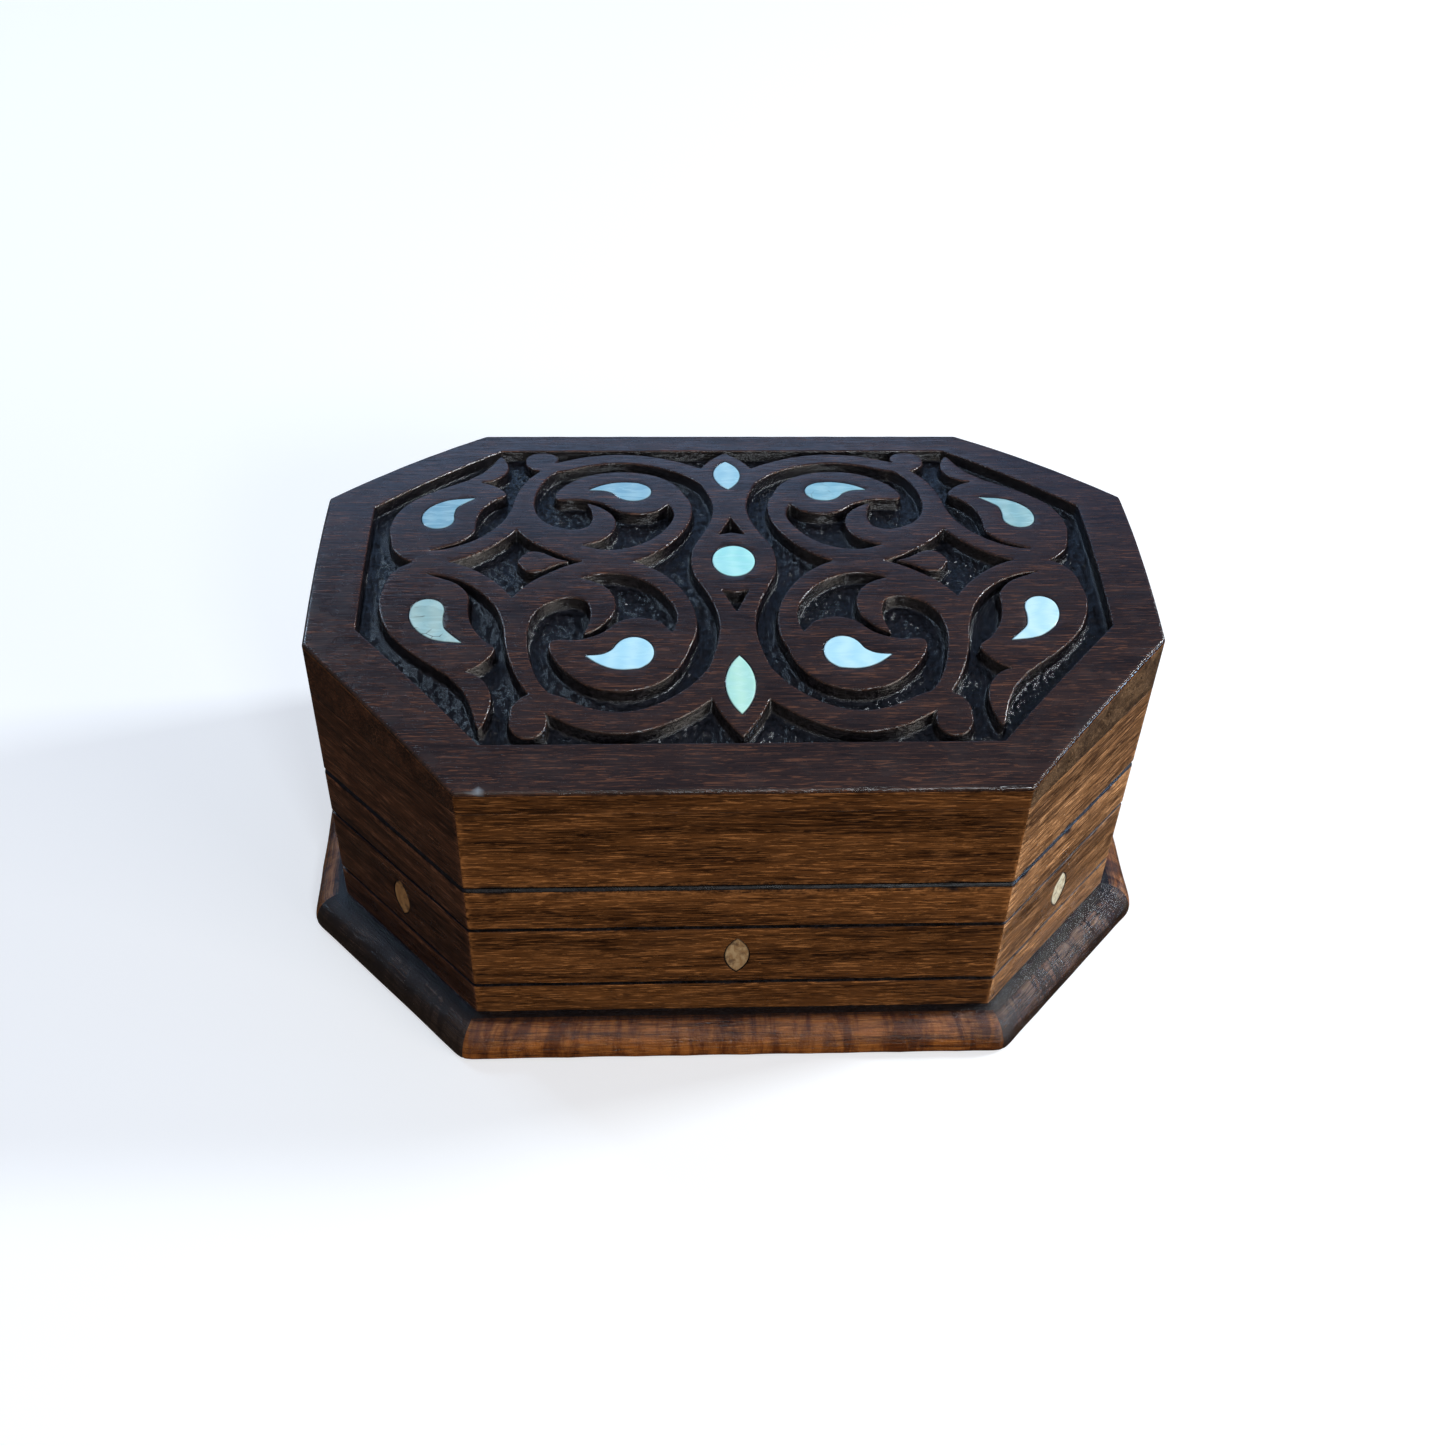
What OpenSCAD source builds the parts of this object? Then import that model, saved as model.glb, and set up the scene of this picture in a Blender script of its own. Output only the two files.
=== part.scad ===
// Eight-sided wooden trinket box with a gently arched, carved lid and inlaid shell.
// Millimetres, +Z up, the front faces -Y and the hinges are at +Y.
// Origin: middle of the footprint, at the level of the table.

/* [Body] */
// Length of the box body, left to right
box_length = 150; // [120:5:200]
// Width of the box body, front to back
box_width = 100; // [85:1:125]
// How far each slanting corner face runs along the length
corner_cut_length = 27.2; // [20:0.2:32]
// How far each slanting corner face runs along the width
corner_cut_width = 29.4; // [20:0.2:32]
// Thickness of the wooden walls
wall_thickness = 6; // [5:0.5:8]
// Height of the base from the table to its rim
base_height = 40.8; // [34:0.2:60]
// Thickness of the bottom board
bottom_thickness = 4; // [3:0.5:6]

/* [Lid] */
// Height of the lid walls under the top board
lid_wall_height = 19.2; // [14:0.2:26]
// Thickness of the top board at its front and back edges
board_edge = 5; // [4:0.5:7]
// How much higher the arched board is in the middle than at its front edge
arch_rise = 8; // [5:0.5:10]
// Width of the plain border around the carving
border_width = 8.8; // [7:0.2:12]
// Depth of the carved ground below the top surface
carving_depth = 2.6; // [2:0.1:3]
// Open seam between the closed lid and the base
parting_gap = 0.3; // [0.2:0.05:0.5]

/* [Edges and grooves] */
// Bevel along the two outer edges that meet at the parting seam
parting_bevel = 0.45; // [0.3:0.05:0.7]
// Height of the upper groove cut around the base
upper_groove_height = 29.8; // [26:0.2:33]
// Height of the lower groove cut around the base
lower_groove_height = 14.1; // [12:0.1:18]
// Width of both grooves
groove_width = 0.7; // [0.5:0.1:1]
// Depth of both grooves
groove_depth = 0.6; // [0.4:0.1:1]

/* [Plinth] */
// Height of the plinth moulding
plinth_height = 6.5; // [5:0.5:8]
// How far the plinth stands out from the walls
plinth_overhang = 6.5; // [5.5:0.5:8]
// Width of the flat ledge on top of the plinth
plinth_ledge = 2; // [1:0.5:3]

/* [Inlay] */
// Thickness of the shell inlays in the lid
shell_thickness = 1.2; // [1:0.1:1.5]
// Glue line all around each inlay
inlay_gap = 0.08; // [0.05:0.01:0.15]
// Height of the bone inlay on each side face
bone_height = 9.6; // [7:0.2:12]
// Width of the bone inlay on each side face
bone_width = 4.6; // [3.4:0.2:6]
// Thickness of the bone inlays
bone_thickness = 1.6; // [1:0.2:2.4]

/* [Lining] */
// Thickness of the felt lining
felt_thickness = 0.8; // [0.6:0.1:1.2]
// How far the wall lining stops below the rim of the base
felt_below_rim = 2; // [1:0.5:4]

/* [Hinges] */
// Distance of each hinge from the middle of the back wall
hinge_offset = 27; // [20:1:34]
// Width of one hinge
hinge_width = 16; // [14:1:20]
// Width of wall edge left uncut inside each hinge leaf
leaf_margin = 1; // [0.6:0.1:1.6]
// Thickness of the hinge leaves
leaf_thickness = 0.8; // [0.6:0.1:1]
// Outer radius of the hinge knuckles
knuckle_radius = 1.5; // [1.3:0.1:1.7]
// Radius of the hinge pins
pin_radius = 0.65; // [0.5:0.05:0.7]
// How far the hinge axis stands behind the back wall
axis_standoff = 0.8; // [0.7:0.1:1.2]

/* [Hidden] */
$fn = 48;

// Overlap given to every cutting body.
cut = 1;
// Facets of the very flat arch, so that its chords stay true.
arch_facets = 720;

half_length = box_length / 2;
half_width = box_width / 2;
lid_bottom = base_height + parting_gap / 2;
base_top = base_height - parting_gap / 2;
board_bottom = base_height + lid_wall_height;
board_rim = board_bottom + board_edge;
arch_top = board_rim + arch_rise;
arch_radius = (half_width * half_width + arch_rise * arch_rise) / (2 * arch_rise);
arch_centre = arch_top - arch_radius;

// Middle of the belt between the two grooves, where the bone inlays sit.
belt_middle = (upper_groove_height + lower_groove_height) / 2;

// Unit normal of the slanting faces, and how far those faces lie from the middle.
cut_diagonal = norm([corner_cut_length, corner_cut_width]);
slant_x = corner_cut_width / cut_diagonal;
slant_y = corner_cut_length / cut_diagonal;
slant_reach = slant_x * half_length + slant_y * (half_width - corner_cut_width);

// Half sizes of the carved field, against the half sizes the scrollwork is drawn to.
field_half_length = half_length - border_width;
field_half_width = half_width - border_width;
drawn_half_length = 66.2;
drawn_half_width = 41.2;
field_stretch = [field_half_length / drawn_half_length, field_half_width / drawn_half_width];
stroke_stretch = min(field_stretch[0], field_stretch[1]);

// Pieces of each smooth curve between two neighbouring control points.
curve_steps = 3;
// Width of the narrowest gouge used on the scrollwork.
gouge_width = 0.6;

hinge_y = half_width + axis_standoff;
leaf_depth = wall_thickness - leaf_margin;
// Play between neighbouring knuckles, and between a knuckle and the wood around it.
knuckle_gap = 0.2;
housing_play = 0.25;
housing_radius = knuckle_radius + housing_play;
middle_knuckle = hinge_width * 0.35;
pin_clearance = 0.05;
screw_radius = 0.8;
screw_head_radius = 1.4;
screw_length = 5;
screw_slot = 0.35;
screw_slot_depth = 0.3;
screw_spread = hinge_width / 4;
// Distance of the screws from the inner end of a leaf.
screw_inset = 1.9;
screw_y = half_width - leaf_depth + screw_inset;

// Faces are numbered counter-clockwise from the front one, seen from above.
FRONT = 0;
FRONT_RIGHT = 1;
RIGHT = 2;
BACK_RIGHT = 3;
BACK = 4;
BACK_LEFT = 5;
LEFT = 6;
FRONT_LEFT = 7;

// Corners of the eight-sided outline, moved in from the wall's outer faces by a distance.
function outline(inset) =
    let (
        x = half_length - inset,
        y = half_width - inset,
        reach = slant_reach - inset,
        long_x = (reach - slant_y * y) / slant_x,
        side_y = (reach - slant_x * x) / slant_y
    )
    [
        [-long_x, -y], [long_x, -y],
        [x, -side_y], [x, side_y],
        [long_x, y], [-long_x, y],
        [-x, side_y], [-x, -side_y]
    ];

// Heading of a face: the turn that carries the front face onto it.
function face_turn(face) =
    let (slant_turn = atan2(slant_x, slant_y))
    [0, slant_turn, 90, 180 - slant_turn, 180, 180 + slant_turn, 270, 360 - slant_turn][face];

// Smooth curve between b and c with neighbours a and d (Catmull-Rom).
function blend(a, b, c, d, t) =
    (2 * b + (c - a) * t + (2 * a - 5 * b + 4 * c - d) * t * t + (3 * b - a - 3 * c + d) * t * t * t) / 2;

// Smooth open curve through the given points.
function open_curve(points) =
    let (last = len(points) - 1)
    [
        for (i = [0 : last - 1])
            for (s = [0 : curve_steps - 1])
                blend(
                    points[max(i - 1, 0)], points[i],
                    points[i + 1], points[min(i + 2, last)],
                    s / curve_steps
                ),
        points[last]
    ];

// Smooth closed curve through the given points.
function closed_curve(points) =
    let (count = len(points))
    [
        for (i = [0 : count - 1])
            for (s = [0 : curve_steps - 1])
                blend(
                    points[(i + count - 1) % count], points[i],
                    points[(i + 1) % count], points[(i + 2) % count],
                    s / curve_steps
                )
    ];

// Moves drawn points out to the size of the carved field.
function fitted(points) = [for (p = points) [p[0] * field_stretch[0], p[1] * field_stretch[1]]];

// Unit direction of a path at one of its points.
function heading(path, i) =
    let (
        ahead = path[min(i + 1, len(path) - 1)],
        behind = path[max(i - 1, 0)],
        step = [ahead[0] - behind[0], ahead[1] - behind[1]]
    )
    step / norm(step);

// One side of a stroke, half its own width away from the path.
function stroke_side(path, side) =
    [
        for (i = [0 : len(path) - 1])
            let (h = heading(path, i), reach = side * path[i][2] / 2 * stroke_stretch)
            [
                path[i][0] * field_stretch[0] - h[1] * reach,
                path[i][1] * field_stretch[1] + h[0] * reach
            ]
    ];

// Swelling stroke: each point gives x, y and the width there.
module stroke(points) {
    path = open_curve(points);
    left = stroke_side(path, 1);
    right = stroke_side(path, -1);
    last = len(path) - 1;
    polygon([for (i = [0 : last]) left[i], for (i = [0 : last]) right[last - i]]);
}

module blob(points) {
    polygon(closed_curve(fitted(points)));
}

// Pointed lens: where two equal circles overlap.
module lens(length, width) {
    radius = (length * length + width * width) / (4 * width);
    intersection() {
        translate([radius - width / 2, 0])
            circle(radius, $fn = 96);
        translate([width / 2 - radius, 0])
            circle(radius, $fn = 96);
    }
}

module in_four_corners() {
    for (sx = [-1, 1])
        for (sy = [-1, 1])
            scale([sx, sy])
                children();
}

module field_mark(x, y) {
    translate([x * field_stretch[0], y * field_stretch[1]])
        children();
}

// ---- Scrollwork, drawn for one quarter of the field: x from the middle outward, y toward the edge ----

module spine() {
    stroke([
        [0, -4, 14.4], [0, 0, 15.4], [0, 4, 14.4], [0, 8, 10.8], [0, 12, 7.8], [0, 16, 6.4], [0, 20, 7],
        [0, 24, 9.2], [0, 28, 11.4], [0, 31, 11], [0, 35, 7.6], [0, 38, 3.6], [0, 40, 0.2]
    ]);
}

module outer_scroll() {
    stroke([
        [1, 24, 5], [4, 28.3, 4.8], [7.5, 31.9, 4.4], [12.5, 35.1, 4.2], [17.5, 36.9, 4.2], [22.5, 37.1, 4.2],
        [27.5, 35.8, 4.2], [32, 33.5, 4.1], [35.2, 32.9, 3.3], [37.3, 34.6, 3.2], [37, 37, 4]
    ]);
    field_mark(35.9, 36.9)
        circle(3.2 * stroke_stretch);
}

module ring() {
    stroke([
        [31.5, 34, 3], [34.6, 31, 2.8], [36.8, 27, 3.2], [38.2, 22, 3.6], [38.6, 17, 4.2],
        [37.8, 12.3, 5.4], [34.8, 8.2, 5.9], [31.4, 5, 5.1], [28, 2.6, 4.4], [23.5, 1.3, 4.2],
        [18.5, 2, 4], [13.8, 5, 3.5], [10.5, 9.4, 3.3], [8.9, 14, 3.3], [9.5, 19, 4.3], [12.4, 23, 5]
    ]);
}

module hook() {
    stroke([
        [35.5, 9.5, 5], [31.6, 7.3, 5.4], [27.6, 7.3, 5], [24.4, 9.2, 5], [23.6, 12.8, 4.4],
        [24.9, 16.2, 2.3], [26.7, 18.4, 0.2]
    ]);
}

module inner_leaf() {
    blob([
        [8, 17], [8.2, 21], [10.2, 25.8], [14, 29.4], [19.5, 31], [25.5, 30], [30, 26.6], [32.6, 22.5],
        [32.2, 19.9], [28, 19.9], [23.8, 18.4], [20.6, 15.5], [16.8, 14.7], [13.4, 15.8], [11, 18.4]
    ]);
}

module outer_arm() {
    stroke([
        [60.4, 8, 4], [59.5, 4.4, 4.2], [57, 2, 4.2], [53.6, 1.4, 4], [49.5, 2.7, 3.8], [45.6, 5.2, 3.6],
        [42.4, 8.6, 3.6], [40.2, 12.4, 3.6], [39.2, 17, 3]
    ]);
}

module outer_leaf() {
    blob([
        [57, 2.6], [60.8, 4.6], [62.6, 8.5], [62.4, 13], [60.4, 18], [56.6, 22.2], [52, 25.8], [48.6, 28],
        [46.6, 26.5], [44, 24.9], [42, 21.8], [44.2, 19.6], [46.3, 16.2], [47.1, 12.4], [47.2, 9],
        [49.4, 6], [53, 4.2]
    ]);
}

module tail_leaf() {
    blob([
        [50, 27], [47.2, 30.4], [45.5, 34], [44.1, 38.2], [42.7, 35.6], [42.2, 32.2], [43.3, 29], [46, 26.9]
    ]);
}

module side_leaf() {
    stroke([
        [29.8, 0, 0.2], [32, 0, 1.8], [34.8, 0, 5.4], [37.2, 0, 5.4], [38.9, 0, 0.8]
    ]);
}

// Small notch cut through the spine next to the middle inlay.
module spine_notch() {
    polygon(fitted([[-2.4, 7.9], [0, 8.5], [2.4, 7.9], [0, 13.4]]));
}

module scrollwork() {
    difference() {
        in_four_corners() {
            spine();
            outer_scroll();
            ring();
            hook();
            inner_leaf();
            outer_arm();
            outer_leaf();
            tail_leaf();
            side_leaf();
        }
        for (sy = [-1, 1])
            scale([1, sy])
                spine_notch();
    }
}

// The ground that is carved away; slots narrower than the gouge are left uncut.
module carved_ground() {
    offset(delta = gouge_width / 2)
        offset(delta = -gouge_width / 2)
            difference() {
                polygon(outline(border_width));
                scrollwork();
            }
}

// ---- Shell inlay outlines, each also the outline of its pocket ----

module inner_comma() {
    field_mark(18.1, 22.8)
        circle(3.5 * stroke_stretch, $fn = 32);
    stroke([[17, 22.5, 6], [18.6, 23.1, 7], [21, 24.2, 4.9], [23.7, 24.3, 2.4], [26.4, 23.5, 0.2]]);
}

module outer_comma() {
    field_mark(54.1, 12.9)
        circle(3 * stroke_stretch, $fn = 32);
    stroke([[54.1, 12, 5.4], [54.2, 13.8, 6], [53.6, 16, 5.2], [51.8, 18.4, 3.2], [47.8, 20.4, 0.2]]);
}

module spine_drop() {
    field_mark(0, 29.7)
        lens(12.2 * field_stretch[1], 5.2 * stroke_stretch);
}

module middle_oval() {
    polygon([for (a = [0 : 9 : 351]) [3.9 * cos(a), 4.4 * sin(a)] * stroke_stretch]);
}

// ---- Solids under the arch of the lid ----

// Everything below a surface that follows the arch at a given depth.
module under_arch(depth) {
    translate([0, 0, arch_centre])
        rotate([0, 90, 0])
            cylinder(r = arch_radius - depth, h = box_length + 2 * cut, center = true, $fn = arch_facets);
}

// A flat outline sunk from the arched surface down to a given depth.
module sunk(depth) {
    difference() {
        translate([0, 0, board_bottom + cut])
            linear_extrude(arch_top - board_bottom)
                children();
        under_arch(depth);
    }
}

module all_pockets() {
    offset(delta = inlay_gap / 2) {
        in_four_corners() {
            inner_comma();
            outer_comma();
        }
        for (sy = [-1, 1])
            scale([1, sy])
                spine_drop();
        middle_oval();
    }
}

module shell(sx = 1, sy = 1) {
    color("#cfe3dc")
        intersection() {
            sunk(shell_thickness)
                offset(delta = -inlay_gap / 2)
                    scale([sx, sy])
                        children();
            under_arch(0);
        }
}

// ---- Walls and mouldings ----

// Local frame on a face: x along it to the right seen from outside, y into the wood.
module on_face(face) {
    corners = outline(0);
    start = corners[face];
    end = corners[(face + 1) % 8];
    translate([(start[0] + end[0]) / 2, (start[1] + end[1]) / 2])
        rotate([0, 0, face_turn(face)])
            children();
}

// Mitred length of wall between two insets.
module mitred(face, outer, inner, height) {
    far = outline(outer);
    near = outline(inner);
    next = (face + 1) % 8;
    linear_extrude(height)
        polygon([far[face], far[next], near[next], near[face]]);
}

// Three-sided bar along a face that bevels the arris at its z = 0.
// Up is 1 for a lower arris and -1 for an upper one.
module bevel_bar(up) {
    reach = parting_bevel + cut;
    rotate([90, 0, 90])
        linear_extrude(box_length, center = true)
            polygon([[-cut, -up * cut], [reach, -up * cut], [-cut, up * reach]]);
}

module groove_bar() {
    cube([box_length, 2 * groove_depth, groove_width], center = true);
}

module bone_outline() {
    lens(bone_height, bone_width);
}

module base_wall(face) {
    difference() {
        mitred(face, 0, wall_thickness, base_top);
        on_face(face) {
            translate([0, 0, base_top])
                bevel_bar(-1);
            translate([0, 0, upper_groove_height])
                groove_bar();
            translate([0, 0, lower_groove_height])
                groove_bar();
            translate([0, bone_thickness, belt_middle])
                rotate([90, 0, 0])
                    linear_extrude(bone_thickness + cut)
                        bone_outline();
        }
    }
}

module bone(face) {
    color("#c9a878")
        on_face(face)
            translate([0, bone_thickness, belt_middle])
                rotate([90, 0, 0])
                    linear_extrude(bone_thickness)
                        offset(delta = -inlay_gap)
                            bone_outline();
}

module lid_wall(face) {
    difference() {
        translate([0, 0, lid_bottom])
            mitred(face, 0, wall_thickness, board_bottom - lid_bottom);
        on_face(face)
            translate([0, 0, lid_bottom])
                bevel_bar(1);
    }
}

// Ledge, rounded nose and upright foot of the plinth; x outward, y up.
module plinth_profile() {
    nose_radius = plinth_overhang - plinth_ledge;
    foot = plinth_height - nose_radius;
    square([plinth_overhang, foot]);
    square([plinth_ledge, plinth_height]);
    intersection() {
        translate([plinth_ledge, foot])
            circle(nose_radius);
        square([plinth_overhang, plinth_height]);
    }
}

module plinth(face) {
    color("#5a2f16")
        intersection() {
            on_face(face)
                rotate([90, 0, -90])
                    linear_extrude(box_length, center = true)
                        plinth_profile();
            translate([0, 0, -cut])
                mitred(face, -plinth_overhang - cut, cut, plinth_height + 2 * cut);
        }
}

// ---- Hinges; local frame on the axis, x along it ----

module at_hinge(side) {
    translate([side * hinge_offset, hinge_y, base_height])
        children();
}

module along_axis(radius, length) {
    rotate([0, 90, 0])
        cylinder(r = radius, h = length, center = true);
}

// Cut around the knuckles, and the shallow mortise that one leaf lies in.
module hinge_housing(up) {
    along_axis(housing_radius, hinge_width + 2 * knuckle_gap);
    leaf_plate(up, cut);
}

// Flat part of a leaf, running in from the axis; up is 1 for the lid's leaf, -1 for the base's.
module leaf_plate(up, extra = 0) {
    reach = axis_standoff + leaf_depth;
    inner_face = parting_gap / 2;
    translate([-hinge_width / 2, -reach, up > 0 ? inner_face - extra : -inner_face - leaf_thickness])
        cube([hinge_width, reach, leaf_thickness + extra]);
}

module leaf_screws(up) {
    for (x = [-screw_spread, screw_spread])
        translate([x, screw_y - hinge_y, up * parting_gap / 2])
            scale([1, 1, up])
                children();
}

// Countersunk wood screw with its flat head at z = 0, driven upward.
module screw_body() {
    cylinder(r1 = screw_head_radius, r2 = screw_radius, h = leaf_thickness);
    cylinder(r = screw_radius, h = screw_length);
}

module screw() {
    difference() {
        screw_body();
        cube([2 * screw_head_radius + cut, screw_slot, 2 * screw_slot_depth], center = true);
    }
}

module base_knuckles(radius) {
    outer_length = (hinge_width - middle_knuckle) / 2 - knuckle_gap;
    for (x = [-1, 1])
        translate([x * (hinge_width - outer_length) / 2, 0, 0])
            along_axis(radius, outer_length);
}

module base_leaf(side) {
    color("#b98b3c")
        at_hinge(side)
            difference() {
                union() {
                    difference() {
                        leaf_plate(-1);
                        along_axis(housing_radius, middle_knuckle + 2 * knuckle_gap);
                    }
                    base_knuckles(knuckle_radius);
                }
                along_axis(pin_radius, hinge_width + cut);
                leaf_screws(-1)
                    screw_body();
            }
}

module lid_leaf(side) {
    color("#b98b3c")
        at_hinge(side)
            difference() {
                union() {
                    difference() {
                        leaf_plate(1);
                        base_knuckles(housing_radius);
                        for (x = [-1, 1])
                            translate([x * (middle_knuckle + knuckle_gap) / 2, 0, 0])
                                along_axis(housing_radius, knuckle_gap);
                    }
                    along_axis(knuckle_radius, middle_knuckle);
                }
                along_axis(pin_radius + pin_clearance, hinge_width + cut);
                leaf_screws(1)
                    screw_body();
            }
}

module hinge_pin(side) {
    color("#8f6a2c")
        at_hinge(side)
            along_axis(pin_radius, hinge_width);
}

module hinge_screws(up) {
    color("#a87c34")
        for (side = [-1, 1])
            at_hinge(side)
                leaf_screws(up)
                    screw();
}

// Everything the two hinges need cut out of the back walls.
module hinge_cuts(up) {
    for (side = [-1, 1])
        at_hinge(side) {
            hinge_housing(up);
            leaf_screws(up)
                cylinder(r = screw_radius, h = screw_length);
        }
}

// ---- Nodes of the lid ----

module lid_board() {
    color("#3a2016")
        difference() {
            intersection() {
                translate([0, 0, board_bottom])
                    linear_extrude(arch_top - board_bottom + cut)
                        polygon(outline(0));
                under_arch(0);
            }
            sunk(carving_depth)
                carved_ground();
            sunk(shell_thickness)
                all_pockets();
        }
}

module lid_wall_front() {
    color("#6b3f1d") lid_wall(FRONT);
}

module lid_wall_front_right() {
    color("#6b3f1d") lid_wall(FRONT_RIGHT);
}

module lid_wall_right() {
    color("#6b3f1d") lid_wall(RIGHT);
}

module lid_wall_back_right() {
    color("#6b3f1d") lid_wall(BACK_RIGHT);
}

module lid_wall_back() {
    color("#6b3f1d")
        difference() {
            lid_wall(BACK);
            hinge_cuts(1);
        }
}

module lid_wall_back_left() {
    color("#6b3f1d") lid_wall(BACK_LEFT);
}

module lid_wall_left() {
    color("#6b3f1d") lid_wall(LEFT);
}

module lid_wall_front_left() {
    color("#6b3f1d") lid_wall(FRONT_LEFT);
}

module shell_oval_middle() {
    shell() middle_oval();
}

module shell_drop_front() {
    shell(1, -1) spine_drop();
}

module shell_drop_back() {
    shell() spine_drop();
}

module shell_comma_inner_front_right() {
    shell(1, -1) inner_comma();
}

module shell_comma_inner_back_right() {
    shell(1, 1) inner_comma();
}

module shell_comma_inner_back_left() {
    shell(-1, 1) inner_comma();
}

module shell_comma_inner_front_left() {
    shell(-1, -1) inner_comma();
}

module shell_comma_outer_front_right() {
    shell(1, -1) outer_comma();
}

module shell_comma_outer_back_right() {
    shell(1, 1) outer_comma();
}

module shell_comma_outer_back_left() {
    shell(-1, 1) outer_comma();
}

module shell_comma_outer_front_left() {
    shell(-1, -1) outer_comma();
}

module lid_lining() {
    color("#5c1420")
        translate([0, 0, board_bottom - felt_thickness])
            linear_extrude(felt_thickness)
                polygon(outline(wall_thickness));
}

// ---- Nodes of the base ----

module base_wall_front() {
    color("#6b3f1d") base_wall(FRONT);
}

module base_wall_front_right() {
    color("#6b3f1d") base_wall(FRONT_RIGHT);
}

module base_wall_right() {
    color("#6b3f1d") base_wall(RIGHT);
}

module base_wall_back_right() {
    color("#6b3f1d") base_wall(BACK_RIGHT);
}

module base_wall_back() {
    color("#6b3f1d")
        difference() {
            base_wall(BACK);
            hinge_cuts(-1);
        }
}

module base_wall_back_left() {
    color("#6b3f1d") base_wall(BACK_LEFT);
}

module base_wall_left() {
    color("#6b3f1d") base_wall(LEFT);
}

module base_wall_front_left() {
    color("#6b3f1d") base_wall(FRONT_LEFT);
}

module bone_front() {
    bone(FRONT);
}

module bone_front_right() {
    bone(FRONT_RIGHT);
}

module bone_right() {
    bone(RIGHT);
}

module bone_back_right() {
    bone(BACK_RIGHT);
}

module bone_back() {
    bone(BACK);
}

module bone_back_left() {
    bone(BACK_LEFT);
}

module bone_left() {
    bone(LEFT);
}

module bone_front_left() {
    bone(FRONT_LEFT);
}

module bottom_board() {
    color("#7a5230")
        linear_extrude(bottom_thickness)
            polygon(outline(wall_thickness));
}

module plinth_front() {
    plinth(FRONT);
}

module plinth_front_right() {
    plinth(FRONT_RIGHT);
}

module plinth_right() {
    plinth(RIGHT);
}

module plinth_back_right() {
    plinth(BACK_RIGHT);
}

module plinth_back() {
    plinth(BACK);
}

module plinth_back_left() {
    plinth(BACK_LEFT);
}

module plinth_left() {
    plinth(LEFT);
}

module plinth_front_left() {
    plinth(FRONT_LEFT);
}

module floor_lining() {
    color("#5c1420")
        translate([0, 0, bottom_thickness])
            linear_extrude(felt_thickness)
                polygon(outline(wall_thickness));
}

module wall_lining() {
    felt_bottom = bottom_thickness + felt_thickness;
    color("#5c1420")
        translate([0, 0, felt_bottom])
            linear_extrude(base_height - felt_below_rim - felt_bottom)
                difference() {
                    polygon(outline(wall_thickness));
                    polygon(outline(wall_thickness + felt_thickness));
                }
}

// ---- Nodes of the hinges ----

module base_leaf_left() {
    base_leaf(-1);
}

module base_leaf_right() {
    base_leaf(1);
}

module lid_leaf_left() {
    lid_leaf(-1);
}

module lid_leaf_right() {
    lid_leaf(1);
}

module hinge_pin_left() {
    hinge_pin(-1);
}

module hinge_pin_right() {
    hinge_pin(1);
}

module base_screws() {
    hinge_screws(-1);
}

module lid_screws() {
    hinge_screws(1);
}

// Which node to draw; all of them by default.

lid_board();
lid_wall_front();
lid_wall_front_right();
lid_wall_right();
lid_wall_back_right();
lid_wall_back();
lid_wall_back_left();
lid_wall_left();
lid_wall_front_left();
shell_oval_middle();
shell_drop_front();
shell_drop_back();
shell_comma_inner_front_right();
shell_comma_inner_back_right();
shell_comma_inner_back_left();
shell_comma_inner_front_left();
shell_comma_outer_front_right();
shell_comma_outer_back_right();
shell_comma_outer_back_left();
shell_comma_outer_front_left();
lid_lining();
base_wall_front();
base_wall_front_right();
base_wall_right();
base_wall_back_right();
base_wall_back();
base_wall_back_left();
base_wall_left();
base_wall_front_left();
bone_front();
bone_front_right();
bone_right();
bone_back_right();
bone_back();
bone_back_left();
bone_left();
bone_front_left();
bottom_board();
plinth_front();
plinth_front_right();
plinth_right();
plinth_back_right();
plinth_back();
plinth_back_left();
plinth_left();
plinth_front_left();
floor_lining();
wall_lining();
base_leaf_left();
base_leaf_right();
lid_leaf_left();
lid_leaf_right();
hinge_pin_left();
hinge_pin_right();
base_screws();
lid_screws();
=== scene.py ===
# Inlaid eight-sided box: the finished surfaces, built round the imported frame.
import math
import bpy
import numpy as np
from mathutils import Matrix, Vector
from mathutils.geometry import delaunay_2d_cdt


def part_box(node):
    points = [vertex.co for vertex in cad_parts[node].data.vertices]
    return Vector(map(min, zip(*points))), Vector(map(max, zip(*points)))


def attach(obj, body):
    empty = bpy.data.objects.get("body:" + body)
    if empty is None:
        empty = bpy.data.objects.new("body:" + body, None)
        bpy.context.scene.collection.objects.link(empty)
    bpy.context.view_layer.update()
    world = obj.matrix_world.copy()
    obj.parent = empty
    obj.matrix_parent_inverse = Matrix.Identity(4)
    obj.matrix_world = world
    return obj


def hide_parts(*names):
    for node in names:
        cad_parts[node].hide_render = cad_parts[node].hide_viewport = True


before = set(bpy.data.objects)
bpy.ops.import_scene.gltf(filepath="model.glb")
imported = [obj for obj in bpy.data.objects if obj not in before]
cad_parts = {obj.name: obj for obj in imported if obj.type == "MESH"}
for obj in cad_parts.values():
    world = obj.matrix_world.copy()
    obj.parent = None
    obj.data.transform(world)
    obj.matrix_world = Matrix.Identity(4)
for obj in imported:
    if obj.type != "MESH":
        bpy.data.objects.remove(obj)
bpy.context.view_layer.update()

mm = 0.001
faceNames = ["front", "front_right", "right", "back_right", "back", "back_left", "left", "front_left"]
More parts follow.
